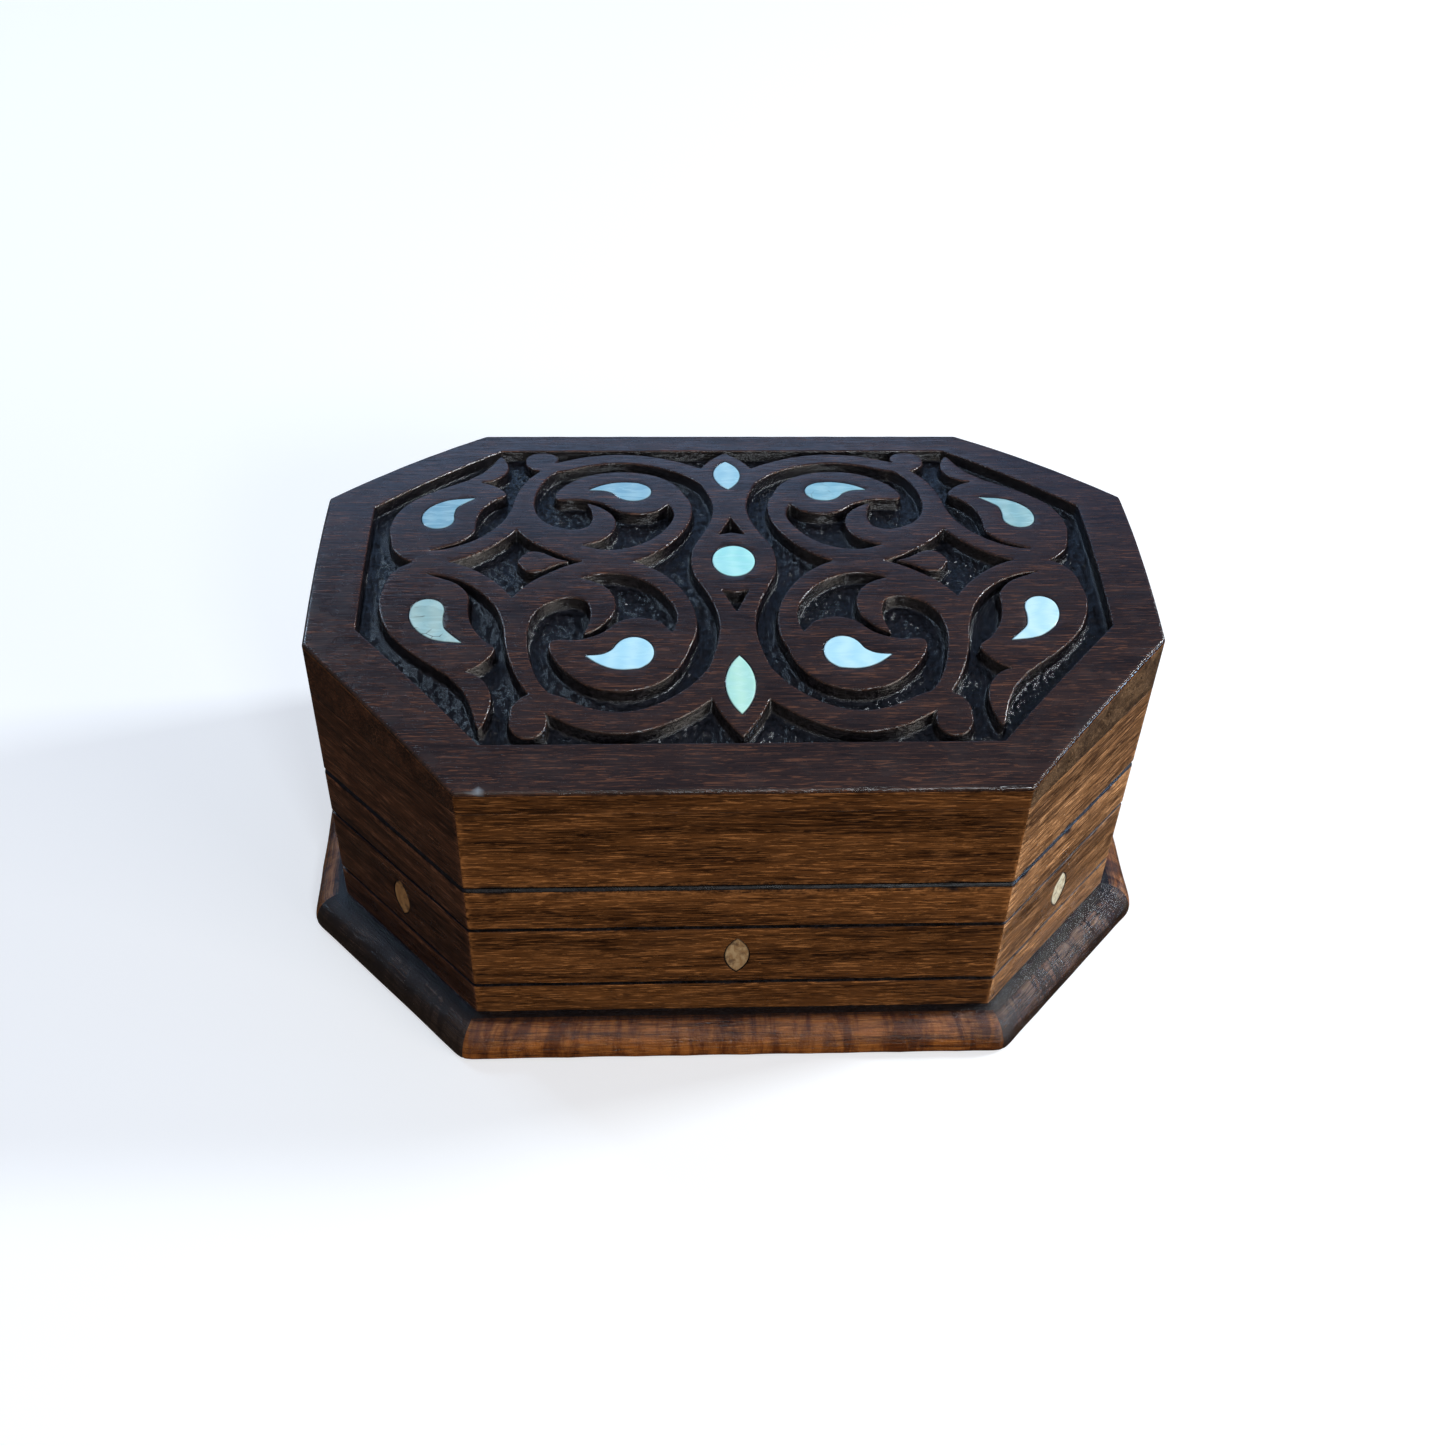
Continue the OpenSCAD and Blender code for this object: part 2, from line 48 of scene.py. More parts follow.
boxSettings = {
    "wallThickness": 6.0,     # wood of the walls
    "arrisRadius": 1.2,       # rounding of the upright corners
    "arcSamples": 7,          # points on each of those arcs
    "sampleStep": 0.45,       # distance between samples along a carved edge
    "cornerTurn": 30.0,       # degrees; an outline that turns more than this has a corner
    "archSlack": 0.1,         # how far the flats of the frame's faces may stray from the arch
    "touching": 0.01,         # points nearer than this lie on the same line
}
print("frame loaded:", len(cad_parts), "nodes")


# Small tools for arrays.

def ripples(x, y, wavelength, seed, waves=7):
    # Sum of sine waves in random directions, about one wavelength long; values near -1 to 1.
    random = np.random.default_rng(seed)
    total = np.zeros(np.broadcast(x, y).shape)
    turns = random.uniform(0, math.pi, waves)
    phases = random.uniform(0, 6.28, waves)
    stretches = random.uniform(0.7, 1.5, waves)
    for turn, phase, stretch in zip(turns, phases, stretches):
        along = x * math.cos(turn) + y * math.sin(turn)
        total = total + np.sin(along * 2 * math.pi * stretch / wavelength + phase)
    return total / math.sqrt(waves)


def pits(x, y, size, seed, count=64):
    # Distance to the nearest of randomly shifted points, one for each square of the given size:
    # 0 in a pit and 1 on a ridge. The pattern repeats after count squares.
    shift = np.random.default_rng(seed).uniform(0.15, 0.85, (count, count, 2))
    column, row = np.floor(x / size).astype(int), np.floor(y / size).astype(int)
    nearest = np.full(x.shape, 9.0)
    for stepX in (-1, 0, 1):
        for stepY in (-1, 0, 1):
            cell = shift[(column + stepX) % count, (row + stepY) % count]
            gapX = (column + stepX + cell[..., 0]) - x / size
            gapY = (row + stepY + cell[..., 1]) - y / size
            nearest = np.minimum(nearest, np.hypot(gapX, gapY))
    return np.clip(nearest / 0.8, 0, 1)


def ramp(value, start, end):
    # 0 up to start, 1 from end on, and a smooth S between.
    share = np.clip((value - start) / (end - start), 0, 1)
    return share * share * (3 - 2 * share)


def camel(*words):
    # Words joined as one name; underscores also part words.
    first, *others = "_".join(words).split("_")
    return first + "".join(word.capitalize() for word in others)


def turnings(loop):
    # Angle in degrees by which a closed loop turns at each of its points.
    ahead = np.roll(loop, -1, axis=0) - loop
    behind = loop - np.roll(loop, 1, axis=0)
    cross = behind[:, 0] * ahead[:, 1] - behind[:, 1] * ahead[:, 0]
    return np.degrees(np.abs(np.arctan2(cross, (behind * ahead).sum(axis=1))))


def resampled(loop, step, cornerAngle=40.0):
    # Points at equal steps along a closed loop, with its corners kept.
    corners = np.nonzero(turnings(loop) > cornerAngle)[0]
    first = corners[0] if len(corners) else 0
    loop = np.roll(loop, -first, axis=0)
    closed = np.vstack([loop, loop[:1]])
    lengths = np.linalg.norm(np.diff(closed, axis=0), axis=1)
    reach = np.concatenate([[0], np.cumsum(lengths)])
    knots = np.concatenate([reach[corners - first], reach[-1:]]) if len(corners) else reach[[0, -1]]
    spots = np.concatenate([
        np.linspace(start, end, max(1, round((end - start) / step)), endpoint=False)
        for start, end in zip(knots[:-1], knots[1:])
    ])
    return np.stack([np.interp(spots, reach, closed[:, i]) for i in (0, 1)], axis=1)


def smoothed(loop, step, cornerAngle=40.0):
    # Four-point subdivision, twice, of the loop at steps of 1 mm: each new middle is 9/16 of its
    # two ends less 1/16 of their outer neighbours.
    loop = resampled(loop, 1.0, 20.0)
    for _ in range(2):
        after = np.roll(loop, -1, axis=0)
        before = np.roll(loop, 1, axis=0)
        beyond = np.roll(loop, -2, axis=0)
        corner = (turnings(loop) > cornerAngle)[:, None]
        length = np.linalg.norm(after - loop, axis=1)[:, None]
        lengthBefore = np.linalg.norm(before - loop, axis=1)[:, None]
        lengthBeyond = np.linalg.norm(beyond - after, axis=1)[:, None]
        left = loop + (before - loop) * np.minimum(1, length / lengthBefore)
        right = after + (beyond - after) * np.minimum(1, length / lengthBeyond)
        left = np.where(corner, 2 * loop - after, left)
        right = np.where(np.roll(corner, -1, axis=0), 2 * after - loop, right)
        middle = (9 * (loop + after) - left - right) / 16
        loop = np.stack([loop, middle], axis=1).reshape(-1, 2)
    return resampled(loop, step)


def sideways(loop):
    # Unit vectors to the right of a closed loop's direction of travel.
    travel = np.roll(loop, -1, axis=0) - np.roll(loop, 1, axis=0)
    travel = travel / np.linalg.norm(travel, axis=1)[:, None]
    return np.stack([travel[:, 1], -travel[:, 0]], axis=1)


def signedDistance(points, loops, reach=3.0, tile=8.0):
    # Distance to the nearest edge of the loops, at most reach, worked out tile by tile;
    # positive inside the loops by the even-odd rule.
    a = np.concatenate(loops)
    b = np.concatenate([np.roll(loop, -1, axis=0) for loop in loops])
    low, high = np.minimum(a, b), np.maximum(a, b)
    cells = np.floor(points / tile).astype(int)
    result = np.empty(len(points))
    for cell in np.unique(cells, axis=0):
        here = np.nonzero((cells == cell).all(axis=1))[0]
        p = points[here][:, None]
        near = ((high > cell * tile - reach) & (low < (cell + 1) * tile + reach)).all(axis=1)
        distance = np.full(len(here), reach)
        if near.any():
            start, along = a[near], (b - a)[near]
            share = np.clip(((p - start) * along).sum(-1) / (along ** 2).sum(-1), 0, 1)
            gap = p - start - share[..., None] * along
            distance = np.minimum(reach, np.sqrt((gap ** 2).sum(-1).min(axis=1)))
        band = (high[:, 1] > cell[1] * tile) & (low < (cell + 1) * tile).all(axis=1)
        start, end = a[band], b[band]
        spans = (start[:, 1] > p[..., 1]) != (end[:, 1] > p[..., 1])
        run, rise = (end - start).T
        crossing = start[:, 0] + (p[..., 1] - start[:, 1]) * run / np.where(spans, rise, 1)
        inside = (spans & (crossing < p[..., 0])).sum(axis=1) % 2 == 1
        result[here] = np.where(inside, distance, -distance)
    return result


def rowsBeside(loops, offsets, region):
    # Copies of the loops moved sideways, kept only where no other edge is nearer.
    rows = []
    for offset in offsets:
        moved = np.concatenate([loop + sideways(loop) * offset for loop in loops])
        error = np.abs(np.abs(signedDistance(moved, region)) - abs(offset))
        rows.append(moved[error < 0.04 + 0.1 * abs(offset)])
    return np.concatenate(rows)


def hexGrid(low, high, step):
    # Points in staggered rows over a rectangle; the rows are 0.866 of a step apart.
    xs = np.arange(low[0], high[0], step)
    ys = np.arange(low[1], high[1], step * 0.866)
    x, y = np.meshgrid(xs, ys)
    x[1::2] += step / 2
    return np.stack([x.ravel(), y.ravel()], axis=1)


def thinned(points, gap):
    # Drops every point that shares a small square with an earlier one.
    squares = np.round(points / gap).astype(int)
    return points[np.sort(np.unique(squares, axis=0, return_index=True)[1])]


def triangulated(boundary, inner):
    # Triangles over the closed boundary and all inner points; the boundary's points come first.
    points = np.vstack([boundary, inner])
    face = list(range(len(boundary)))
    made = delaunay_2d_cdt([Vector(p) for p in points], [], [face], 1, 1e-6, False)
    points, triangles = np.array([tuple(p) for p in made[0]]), np.array(made[2])
    # A triangle whose three boundary corners come in falling order lies just outside a straight edge.
    onRim = (triangles < len(boundary)).all(axis=1)
    rises = (triangles < np.roll(triangles, -1, axis=1)).sum(axis=1)
    return points, triangles[~(onRim & (rises < 2))]


def cadMesh(name):
    # A CAD node's points in millimetres, welded, and its triangles.
    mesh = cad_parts[name].data
    mesh.calc_loop_triangles()
    places = np.empty(len(mesh.vertices) * 3)
    corners = np.empty(len(mesh.loop_triangles) * 3, int)
    mesh.vertices.foreach_get("co", places)
    mesh.loop_triangles.foreach_get("vertices", corners)
    places = np.round(places.reshape(-1, 3) / mm, 3)
    welded, index = np.unique(places, axis=0, return_inverse=True)
    return welded, index.reshape(-1)[corners].reshape(-1, 3)


def nodeBox(name):
    # The two far corners of a node's box, in millimetres.
    return [np.array(corner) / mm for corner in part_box(name)]


def outlinesOf(places, triangles):
    # Edges that only one triangle uses, joined end to end into loops, the triangles on their left.
    sides = [triangles[:, [0, 1]], triangles[:, [1, 2]], triangles[:, [2, 0]]]
    edges = set(map(tuple, np.concatenate(sides)))
    following = {a: b for a, b in edges if (b, a) not in edges}
    loops = []
    while following:
        start = min(following)
        chain, at = [start], following.pop(start)
        while at != start:
            chain.append(at)
            at = following.pop(at)
        loops.append(places[chain][:, :2])
    return loops


def addPiece(name, body, nodes, places, faces, marks, material,
             sharpAngle=35.0, sideMaterial=None, topCount=0):
    # A mesh object from points in millimetres; marks are named values or vectors, one for each
    # point. Faces after the first topCount take the side material, where there is one.
    mesh = bpy.data.meshes.new(name)
    mesh.from_pydata((places * mm).tolist(), [], faces)
    for label, values in marks.items():
        kind, field = ("FLOAT", "value") if values.ndim == 1 else ("FLOAT_VECTOR", "vector")
        layer = mesh.attributes.new(label, kind, "POINT")
        layer.data.foreach_set(field, values.astype(np.float32).ravel())
    mesh.materials.append(material)
    if sideMaterial:
        mesh.materials.append(sideMaterial)
        isSide = np.arange(len(faces)) >= topCount
        mesh.polygons.foreach_set("material_index", isSide.astype(np.int32))
    mesh.shade_smooth()
    mesh.set_sharp_from_angle(angle=math.radians(sharpAngle))
    piece = bpy.data.objects.new(name, mesh)
    bpy.context.scene.collection.objects.link(piece)
    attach(piece, body)
    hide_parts(*nodes)
    return piece


def closedBlock(places, triangles, rimCount, rows):
    # Adds rows of copies of the rim below a surface, quads between them, and one face as the end.
    faces = triangles.tolist()
    at = np.arange(rimCount)
    base = at
    for row in rows:
        new = len(places) + at
        places = np.vstack([places, row])
        faces += np.stack([base, new, np.roll(new, -1), np.roll(base, -1)], axis=1).tolist()
        base = new
    faces.append(base[::-1].tolist())
    return places, faces


# The frame's own measures, in millimetres.

boardPlaces, boardTriangles = cadMesh("lid_board")
archTop = boardPlaces[:, 2].max()
halfLength, halfWidth = boardPlaces[:, :2].max(axis=0)
boardBottom = boardPlaces[:, 2].min()
boardRim = boardPlaces[boardPlaces[:, 1] > halfWidth - boxSettings["touching"]][:, 2].max()
archRadius = (halfWidth ** 2 + (archTop - boardRim) ** 2) / (2 * (archTop - boardRim))


def archHeight(y):
    # Circular arch: centre height plus the square root of radius squared less y squared.
    return archTop - archRadius + np.sqrt(archRadius ** 2 - y ** 2)


def topOutlines(places, triangles):
    # Outlines of the faces that look up and lie on the arched surface.
    corners = places[triangles]
    normals = np.cross(corners[:, 1] - corners[:, 0], corners[:, 2] - corners[:, 0])
    middle = corners.mean(axis=1)
    onArch = np.abs(archHeight(middle[:, 1]) - middle[:, 2]) < boxSettings["archSlack"]
    return outlinesOf(places, triangles[(normals[:, 2] > 0) & onArch])


def pocketFor(name, loops):
    # The loop whose rectangle is nearest to the node's own.
    wanted = np.concatenate([corner[:2] for corner in nodeBox(name)])
    rectangles = [np.concatenate([loop.min(axis=0), loop.max(axis=0)]) for loop in loops]
    return min(range(len(loops)), key=lambda i: np.abs(rectangles[i] - wanted).max())


allOutlines = topOutlines(boardPlaces, boardTriangles)
boxOutline = max(allOutlines, key=lambda loop: np.ptp(loop[:, 0]))
carvedOutlines = [loop for loop in allOutlines if loop is not boxOutline]
shellNames = sorted(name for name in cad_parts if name.startswith("shell"))
pocketOutlines = [carvedOutlines.pop(pocketFor(name, carvedOutlines)) for name in shellNames]

# The corners of the box, from the left end of the front face round to the right.
boxCorners = boxOutline[turnings(boxOutline) > boxSettings["cornerTurn"]]
boxCorners = np.roll(boxCorners, -np.argmin(boxCorners[:, 1] * 10 + boxCorners[:, 0]), axis=0)
cornerRun = np.roll(boxCorners, -1, axis=0) - boxCorners
faceLengths = np.linalg.norm(cornerRun, axis=1)
faceAlong = cornerRun / faceLengths[:, None]
faceOut = np.stack([faceAlong[:, 1], -faceAlong[:, 0]], axis=1)
halfTurns = np.arccos((faceAlong * np.roll(faceAlong, 1, axis=0)).sum(axis=1)) / 2
cornerOut = (faceOut + np.roll(faceOut, 1, axis=0)) / (2 * np.cos(halfTurns)[:, None] ** 2)
print("outlines read:", len(carvedOutlines), "carved,", len(pocketOutlines), "pockets")


def roundedBox(radius, step):
    # The eight-sided outline with each corner replaced by an arc that touches both faces.
    parts = []
    for i in range(8):
        touch = radius * math.tan(halfTurns[i])
        nextTouch = radius * math.tan(halfTurns[(i + 1) % 8])
        centre = boxCorners[i] + faceAlong[i] * touch - faceOut[i] * radius
        start = math.atan2(*faceOut[i - 1][::-1])
        angles = start + np.linspace(0, 2 * halfTurns[i], boxSettings["arcSamples"])
        parts.append(centre + radius * np.stack([np.cos(angles), np.sin(angles)], axis=1))
        run = faceLengths[i] - touch - nextTouch
        spots = touch + np.linspace(0, run, round(run / step), endpoint=False)[1:]
        parts.append(boxCorners[i] + faceAlong[i] * spots[:, None])
    return np.concatenate(parts)


# Shader node groups, each built once, and the small helpers that join nodes.

def newGroup(name, inputs, outputs):
    group = bpy.data.node_groups.new(name, "ShaderNodeTree")
    for label, kind, value in inputs:
        socket = group.interface.new_socket(name=label, in_out="INPUT", socket_type="NodeSocket" + kind)
        if value is not None:
            socket.default_value = value
    for label, kind in outputs:
        group.interface.new_socket(name=label, in_out="OUTPUT", socket_type="NodeSocket" + kind)
    return group, group.nodes.new("NodeGroupInput").outputs, group.nodes.new("NodeGroupOutput").inputs


def plug(tree, socket, value):
    # Links an output into a socket, or sets the socket's own value.
    if isinstance(value, bpy.types.NodeSocket):
        tree.links.new(value, socket)
    elif value is not None:
        socket.default_value = value


def stretched(tree, vector, scale, offset=(0, 0, 0)):
    node = tree.nodes.new("ShaderNodeMapping")
    plug(tree, node.inputs["Vector"], vector)
    node.inputs["Scale"].default_value = scale
    node.inputs["Location"].default_value = offset
    return node.outputs["Vector"]


def noise(tree, vector, scale, detail=2.0, roughness=0.5, distortion=0.0):
    node = tree.nodes.new("ShaderNodeTexNoise")
    plug(tree, node.inputs["Vector"], vector)
    node.inputs["Scale"].default_value = scale
    node.inputs["Detail"].default_value = detail
    node.inputs["Roughness"].default_value = roughness
    node.inputs["Distortion"].default_value = distortion
    return node.outputs["Fac"]


def cells(tree, vector, scale, feature="F1"):
    node = tree.nodes.new("ShaderNodeTexVoronoi")
    node.feature = feature
    plug(tree, node.inputs["Vector"], vector)
    node.inputs["Scale"].default_value = scale
    return node.outputs["Distance"]


def remapped(tree, value, fromLow, fromHigh, toLow=0.0, toHigh=1.0):
    # A smooth S from toLow to toHigh while the value goes from fromLow to fromHigh.
    node = tree.nodes.new("ShaderNodeMapRange")
    node.interpolation_type = "SMOOTHSTEP"
    plug(tree, node.inputs["Value"], value)
    limits = {"From Min": fromLow, "From Max": fromHigh, "To Min": toLow, "To Max": toHigh}
    for label, number in limits.items():
        node.inputs[label].default_value = number
    return node.outputs["Result"]


def maths(tree, operation, a, b, clamp=False):
    node = tree.nodes.new("ShaderNodeMath")
    node.operation = operation
    node.use_clamp = clamp
    plug(tree, node.inputs[0], a)
    plug(tree, node.inputs[1], b)
    return node.outputs["Value"]


def times(tree, a, b, clamp=False):
    return maths(tree, "MULTIPLY", a, b, clamp)


def plus(tree, a, b):
    return maths(tree, "ADD", a, b)


def mixed(tree, share, a, b, blend="MIX"):
    # Two colours mixed, or multiplied where blend says so.
    node = tree.nodes.new("ShaderNodeMix")
    node.data_type = "RGBA"
    node.blend_type = blend
    for place, value in ((0, share), (6, a), (7, b)):
        plug(tree, node.inputs[place], value)
    return node.outputs[2]


def blended(tree, share, a, b):
    # Two numbers mixed.
    node = tree.nodes.new("ShaderNodeMix")
    for place, value in ((0, share), (2, a), (3, b)):
        plug(tree, node.inputs[place], value)
    return node.outputs[0]


def useGroup(tree, group, **values):
    node = tree.nodes.new("ShaderNodeGroup")
    node.node_tree = group
    for label, value in values.items():
        plug(tree, node.inputs[label], value)
    return node.outputs


def attribute(tree, label, output="Fac"):
    node = tree.nodes.new("ShaderNodeAttribute")
    node.attribute_name = label
    return node.outputs[output]


def objectPlace(tree):
    # Object coordinates in millimetres.
    return stretched(tree, tree.nodes.new("ShaderNodeTexCoord").outputs["Object"], (1000, 1000, 1000))


def newMaterial(name):
    material = bpy.data.materials.new(name)
    material.use_nodes = True
    tree = material.node_tree
    return material, tree, tree.nodes["Principled BSDF"]


def finished(tree, shader, color, roughness, height, strength, distance):
    # Colour, roughness and a bump of the given strength and depth in millimetres.
    plug(tree, shader.inputs["Base Color"], color)
    plug(tree, shader.inputs["Roughness"], roughness)
    bump = tree.nodes.new("ShaderNodeBump")
    bump.inputs["Strength"].default_value = strength
    bump.inputs["Distance"].default_value = distance * mm
    plug(tree, bump.inputs["Height"], height)
    plug(tree, shader.inputs["Normal"], bump.outputs["Normal"])


grainLayers = {
    # stretch along and across the grain, shift, detail, distortion, and where the mask starts and ends
    "bands": ((0.016, 0.22, 0.22), (0, 0, 0), 4, 0.4, 0.40, 0.62),
    "mottle": ((0.06, 0.45, 0.45), (7, 3, 1), 3, 0.9, 0.38, 0.62),
    "fibre": ((0.11, 2.3, 2.3), (3, 9, 4), 4, 0.7, 0.42, 0.60),
    "thread": ((0.2, 3.8, 3.8), (11, 2, 8), 3, 0.9, 0.55, 0.62),
    "pore": ((0.22, 4.6, 4.6), (5, 5, 13), 2, 0.5, 0.55, 0.66),
}
poreColor = (0.006, 0.002, 0.001, 1)


def makeGrainGroup():
    # Broad bands, fine fibres and short dark pores, all drawn out along the first axis of Place,
    # which is in millimetres.
    group, given, result = newGroup("woodGrain", [
        ("Place", "Vector", None),
        ("Dark", "Color", (0.02, 0.008, 0.004, 1)),
        ("Light", "Color", (0.1, 0.04, 0.015, 1)),
        ("Streak", "Color", (0.2, 0.07, 0.02, 1)),
        ("Streaks", "Float", 0.4),
        ("Pores", "Float", 0.5),
    ], [("Color", "Color"), ("Height", "Float")])

    def layer(scale, offset, detail, distortion, low, high):
        drawn = noise(group, stretched(group, given["Place"], scale, offset), 1, detail, 0.62, distortion)
        return remapped(group, drawn, low, high)

    bands, mottle, fibre, thread, pore = (layer(*values) for values in grainLayers.values())
    color = mixed(group, bands, given["Dark"], given["Light"])
    color = mixed(group, times(group, mottle, 0.5), color, given["Dark"])
    color = mixed(group, times(group, fibre, 0.6), color, given["Light"])
    inBands = remapped(group, bands, 0.0, 0.8, 0.5, 1.0)
    streak = times(group, times(group, thread, given["Streaks"]), inBands)
    color = mixed(group, streak, color, given["Streak"])
    color = mixed(group, times(group, pore, given["Pores"]), color, poreColor)
    height = maths(group, "SUBTRACT", times(group, fibre, 0.4), times(group, pore, 0.7))
    plug(group, result["Color"], color)
    plug(group, result["Height"], height)
    return group


def makeVarnishGroup():
    # Uneven brushed varnish: slow ripples, small specks and a roughness that wanders between two values.
    group, given, result = newGroup("varnish", [
        ("Place", "Vector", None),
        ("Smooth", "Float", 0.2),
        ("Rough", "Float", 0.4),
    ], [("Roughness", "Float"), ("Height", "Float")])
    place = given["Place"]
    patches = remapped(group, noise(group, place, 0.16, 3, 0.6), 0.35, 0.65)
    specks = times(group, remapped(group, cells(group, place, 1.1), 0.16, 0.05), 0.1)
    span = maths(group, "SUBTRACT", given["Rough"], given["Smooth"])
    rough = plus(group, given["Smooth"], times(group, patches, span))
    ripple = plus(group, noise(group, place, 0.55, 2), times(group, noise(group, place, 3.5, 2), 0.12))
    plug(group, result["Roughness"], plus(group, rough, specks))
    plug(group, result["Height"], plus(group, ripple, specks))
    return group


def makeWearGroup():
    # Mask of rubbed edges: the piece's edge mark broken up by noise.
    group, given, result = newGroup("edgeWear", [
        ("Place", "Vector", None),
        ("Edge", "Float", 0.0),
        ("Amount", "Float", 0.6),
    ], [("Mask", "Float")])
    broken = remapped(group, noise(group, given["Place"], 0.8, 4, 0.7), 0.4, 0.66)
    mask = times(group, given["Edge"], broken)
    plug(group, result["Mask"], times(group, mask, given["Amount"], clamp=True))
    return group


grainGroup, varnishGroup, wearGroup = makeGrainGroup(), makeVarnishGroup(), makeWearGroup()


# Materials. Colours are in linear light.

woodKinds = {
    # smooth and rough are the limits of the varnish's roughness, level is its shine, wear how much of
    # an edge is rubbed, and hollow the sunk mark at which the colour is all stain
    "wallWood": {
        "dark": (0.020, 0.006, 0.0016, 1),
        "light": (0.165, 0.060, 0.016, 1),
        "streak": (0.52, 0.21, 0.065, 1),
        "streaks": 0.8, "pores": 0.8, "smooth": 0.26, "rough": 0.44, "level": 0.22, "bump": 0.3,
        "wear": 0.5, "hollow": 0.55,
    },
    "boardWood": {
        "dark": (0.010, 0.0042, 0.0034, 1),
        "light": (0.032, 0.0155, 0.0115, 1),
        "streak": (0.16, 0.062, 0.03, 1),
        "streaks": 0.65, "pores": 0.6, "smooth": 0.18, "rough": 0.34, "level": 0.5, "bump": 0.3,
        "wear": 0.12, "hollow": 0.22,
    },
    "plinthWood": {
        "dark": (0.05, 0.014, 0.004, 1),
        "light": (0.36, 0.125, 0.03, 1),
        "streak": (0.6, 0.26, 0.08, 1),
        "streaks": 0.5, "pores": 0.45, "smooth": 0.06, "rough": 0.2, "level": 0.5, "bump": 0.5,
        "wear": 0.2, "hollow": 0.55,
    },
    "bottomWood": {
        "dark": (0.17, 0.095, 0.045, 1),
        "light": (0.33, 0.2, 0.1, 1),
        "streak": (0.4, 0.26, 0.14, 1),
        "streaks": 0.4, "pores": 0.3, "smooth": 0.55, "rough": 0.75, "level": 0.4, "bump": 0.3,
    },
}
stainColors = {
    # hollow is also the painted shade in the seam and on the plinth's ledge
    "hollow": (0.0016, 0.0012, 0.0015, 1),   # black stain in the carving and the grooves
    "facet": (0.012, 0.0095, 0.011, 1),      # the same where a tool has scraped it
    "burl": (0.34, 0.27, 0.25, 1),           # what the figure across the plinth leaves of the wood's colour
    "chip": (0.20, 0.22, 0.24, 1),           # bare wood in a chip
}
woodRelief = {"varnish": 0.5, "crinkle": 3.0, "hacked": 12.0, "depth": 0.12}   # heights in the bump


def burlFigure(tree, place, color, height):
    # Dark figure across the grain, with crinkled varnish over it.
    figure = noise(tree, stretched(tree, place, (0.3, 0.06, 0.06)), 1, 5, 0.65, 0.4)
    shaded = mixed(tree, 1.0, color, stainColors["burl"], "MULTIPLY")
    color = mixed(tree, remapped(tree, figure, 0.40, 0.62), color, shaded)
    crinkle = times(tree, noise(tree, place, 2.6, 3, 0.6, 0.6), woodRelief["crinkle"])
    return color, plus(tree, height, crinkle)


def stainedWoodWithPaintedLight(tree, place, color, kind):
    # Worn edges, black stain in whatever is sunk, and over all the tone mark. The sunk mark is painted
    # shade on the plinth's ledge and in the seam, and the tone mark holds painted light and shade of each
    # face.
    wear = useGroup(tree, wearGroup, Place=place, Edge=attribute(tree, "edge"), Amount=kind["wear"])
    color = mixed(tree, wear["Mask"], color, kind["streak"])
    facets = remapped(tree, noise(tree, place, 1.3, 4, 0.7), 0.46, 0.62)
    stain = mixed(tree, facets, stainColors["hollow"], stainColors["facet"])
    color = mixed(tree, remapped(tree, attribute(tree, "sunk"), 0.04, kind["hollow"]), color, stain)
    return mixed(tree, 1.0, color, attribute(tree, "tone", "Color"), "MULTIPLY")


def carvedFinish(tree, place, color, roughness, height):
    # The chip, shiny facets in the hacked ground, and varnish rubbed smooth along the carved edges.
    sunk = attribute(tree, "sunk")
    color = mixed(tree, attribute(tree, "chip"), color, stainColors["chip"])
    facets = remapped(tree, noise(tree, place, 2.2, 3, 0.7), 0.4, 0.7, 0.05, 0.24)
    roughness = blended(tree, remapped(tree, sunk, 0.1, 0.4), roughness, facets)
    shine = maths(tree, "SUBTRACT", 1.0, times(tree, attribute(tree, "edge"), 0.7))
    hacked = times(tree, times(tree, sunk, noise(tree, place, 1.1, 5, 0.7)), woodRelief["hacked"])
    return color, times(tree, roughness, shine), plus(tree, height, hacked)


def woodMaterial(name, kind, marked=True):
    # Grain under varnish; a piece whose points carry marks also gets its stain and wear.
    material, tree, shader = newMaterial(name)
    place = attribute(tree, "grainPlace", "Vector") if marked else objectPlace(tree)
    grain = useGroup(tree, grainGroup, Place=place, Dark=kind["dark"], Light=kind["light"],
                     Streak=kind["streak"], Streaks=kind["streaks"], Pores=kind["pores"])
    varnish = useGroup(tree, varnishGroup, Place=place, Smooth=kind["smooth"], Rough=kind["rough"])
    color, roughness = grain["Color"], varnish["Roughness"]
    height = plus(tree, grain["Height"], times(tree, varnish["Height"], woodRelief["varnish"]))
    if name == "plinthWood":
        color, height = burlFigure(tree, place, color, height)
    if marked:
        color = stainedWoodWithPaintedLight(tree, place, color, kind)
    if name == "boardWood":
        color, roughness, height = carvedFinish(tree, place, color, roughness, height)
    shader.inputs["Specular IOR Level"].default_value = kind["level"]
    finished(tree, shader, color, roughness, height, kind["bump"], woodRelief["depth"])
    return material


nacreColors = {
    "pale": (0.66, 0.94, 0.93, 1),    # drawn through every shell in soft layers
    "layer": (0.72, 0.86, 0.92, 1),   # what the darker layers leave
    "crack": (0.05, 0.04, 0.035, 1),
    "rim": (0.08, 0.09, 0.08, 1),     # dirt round the edge
}


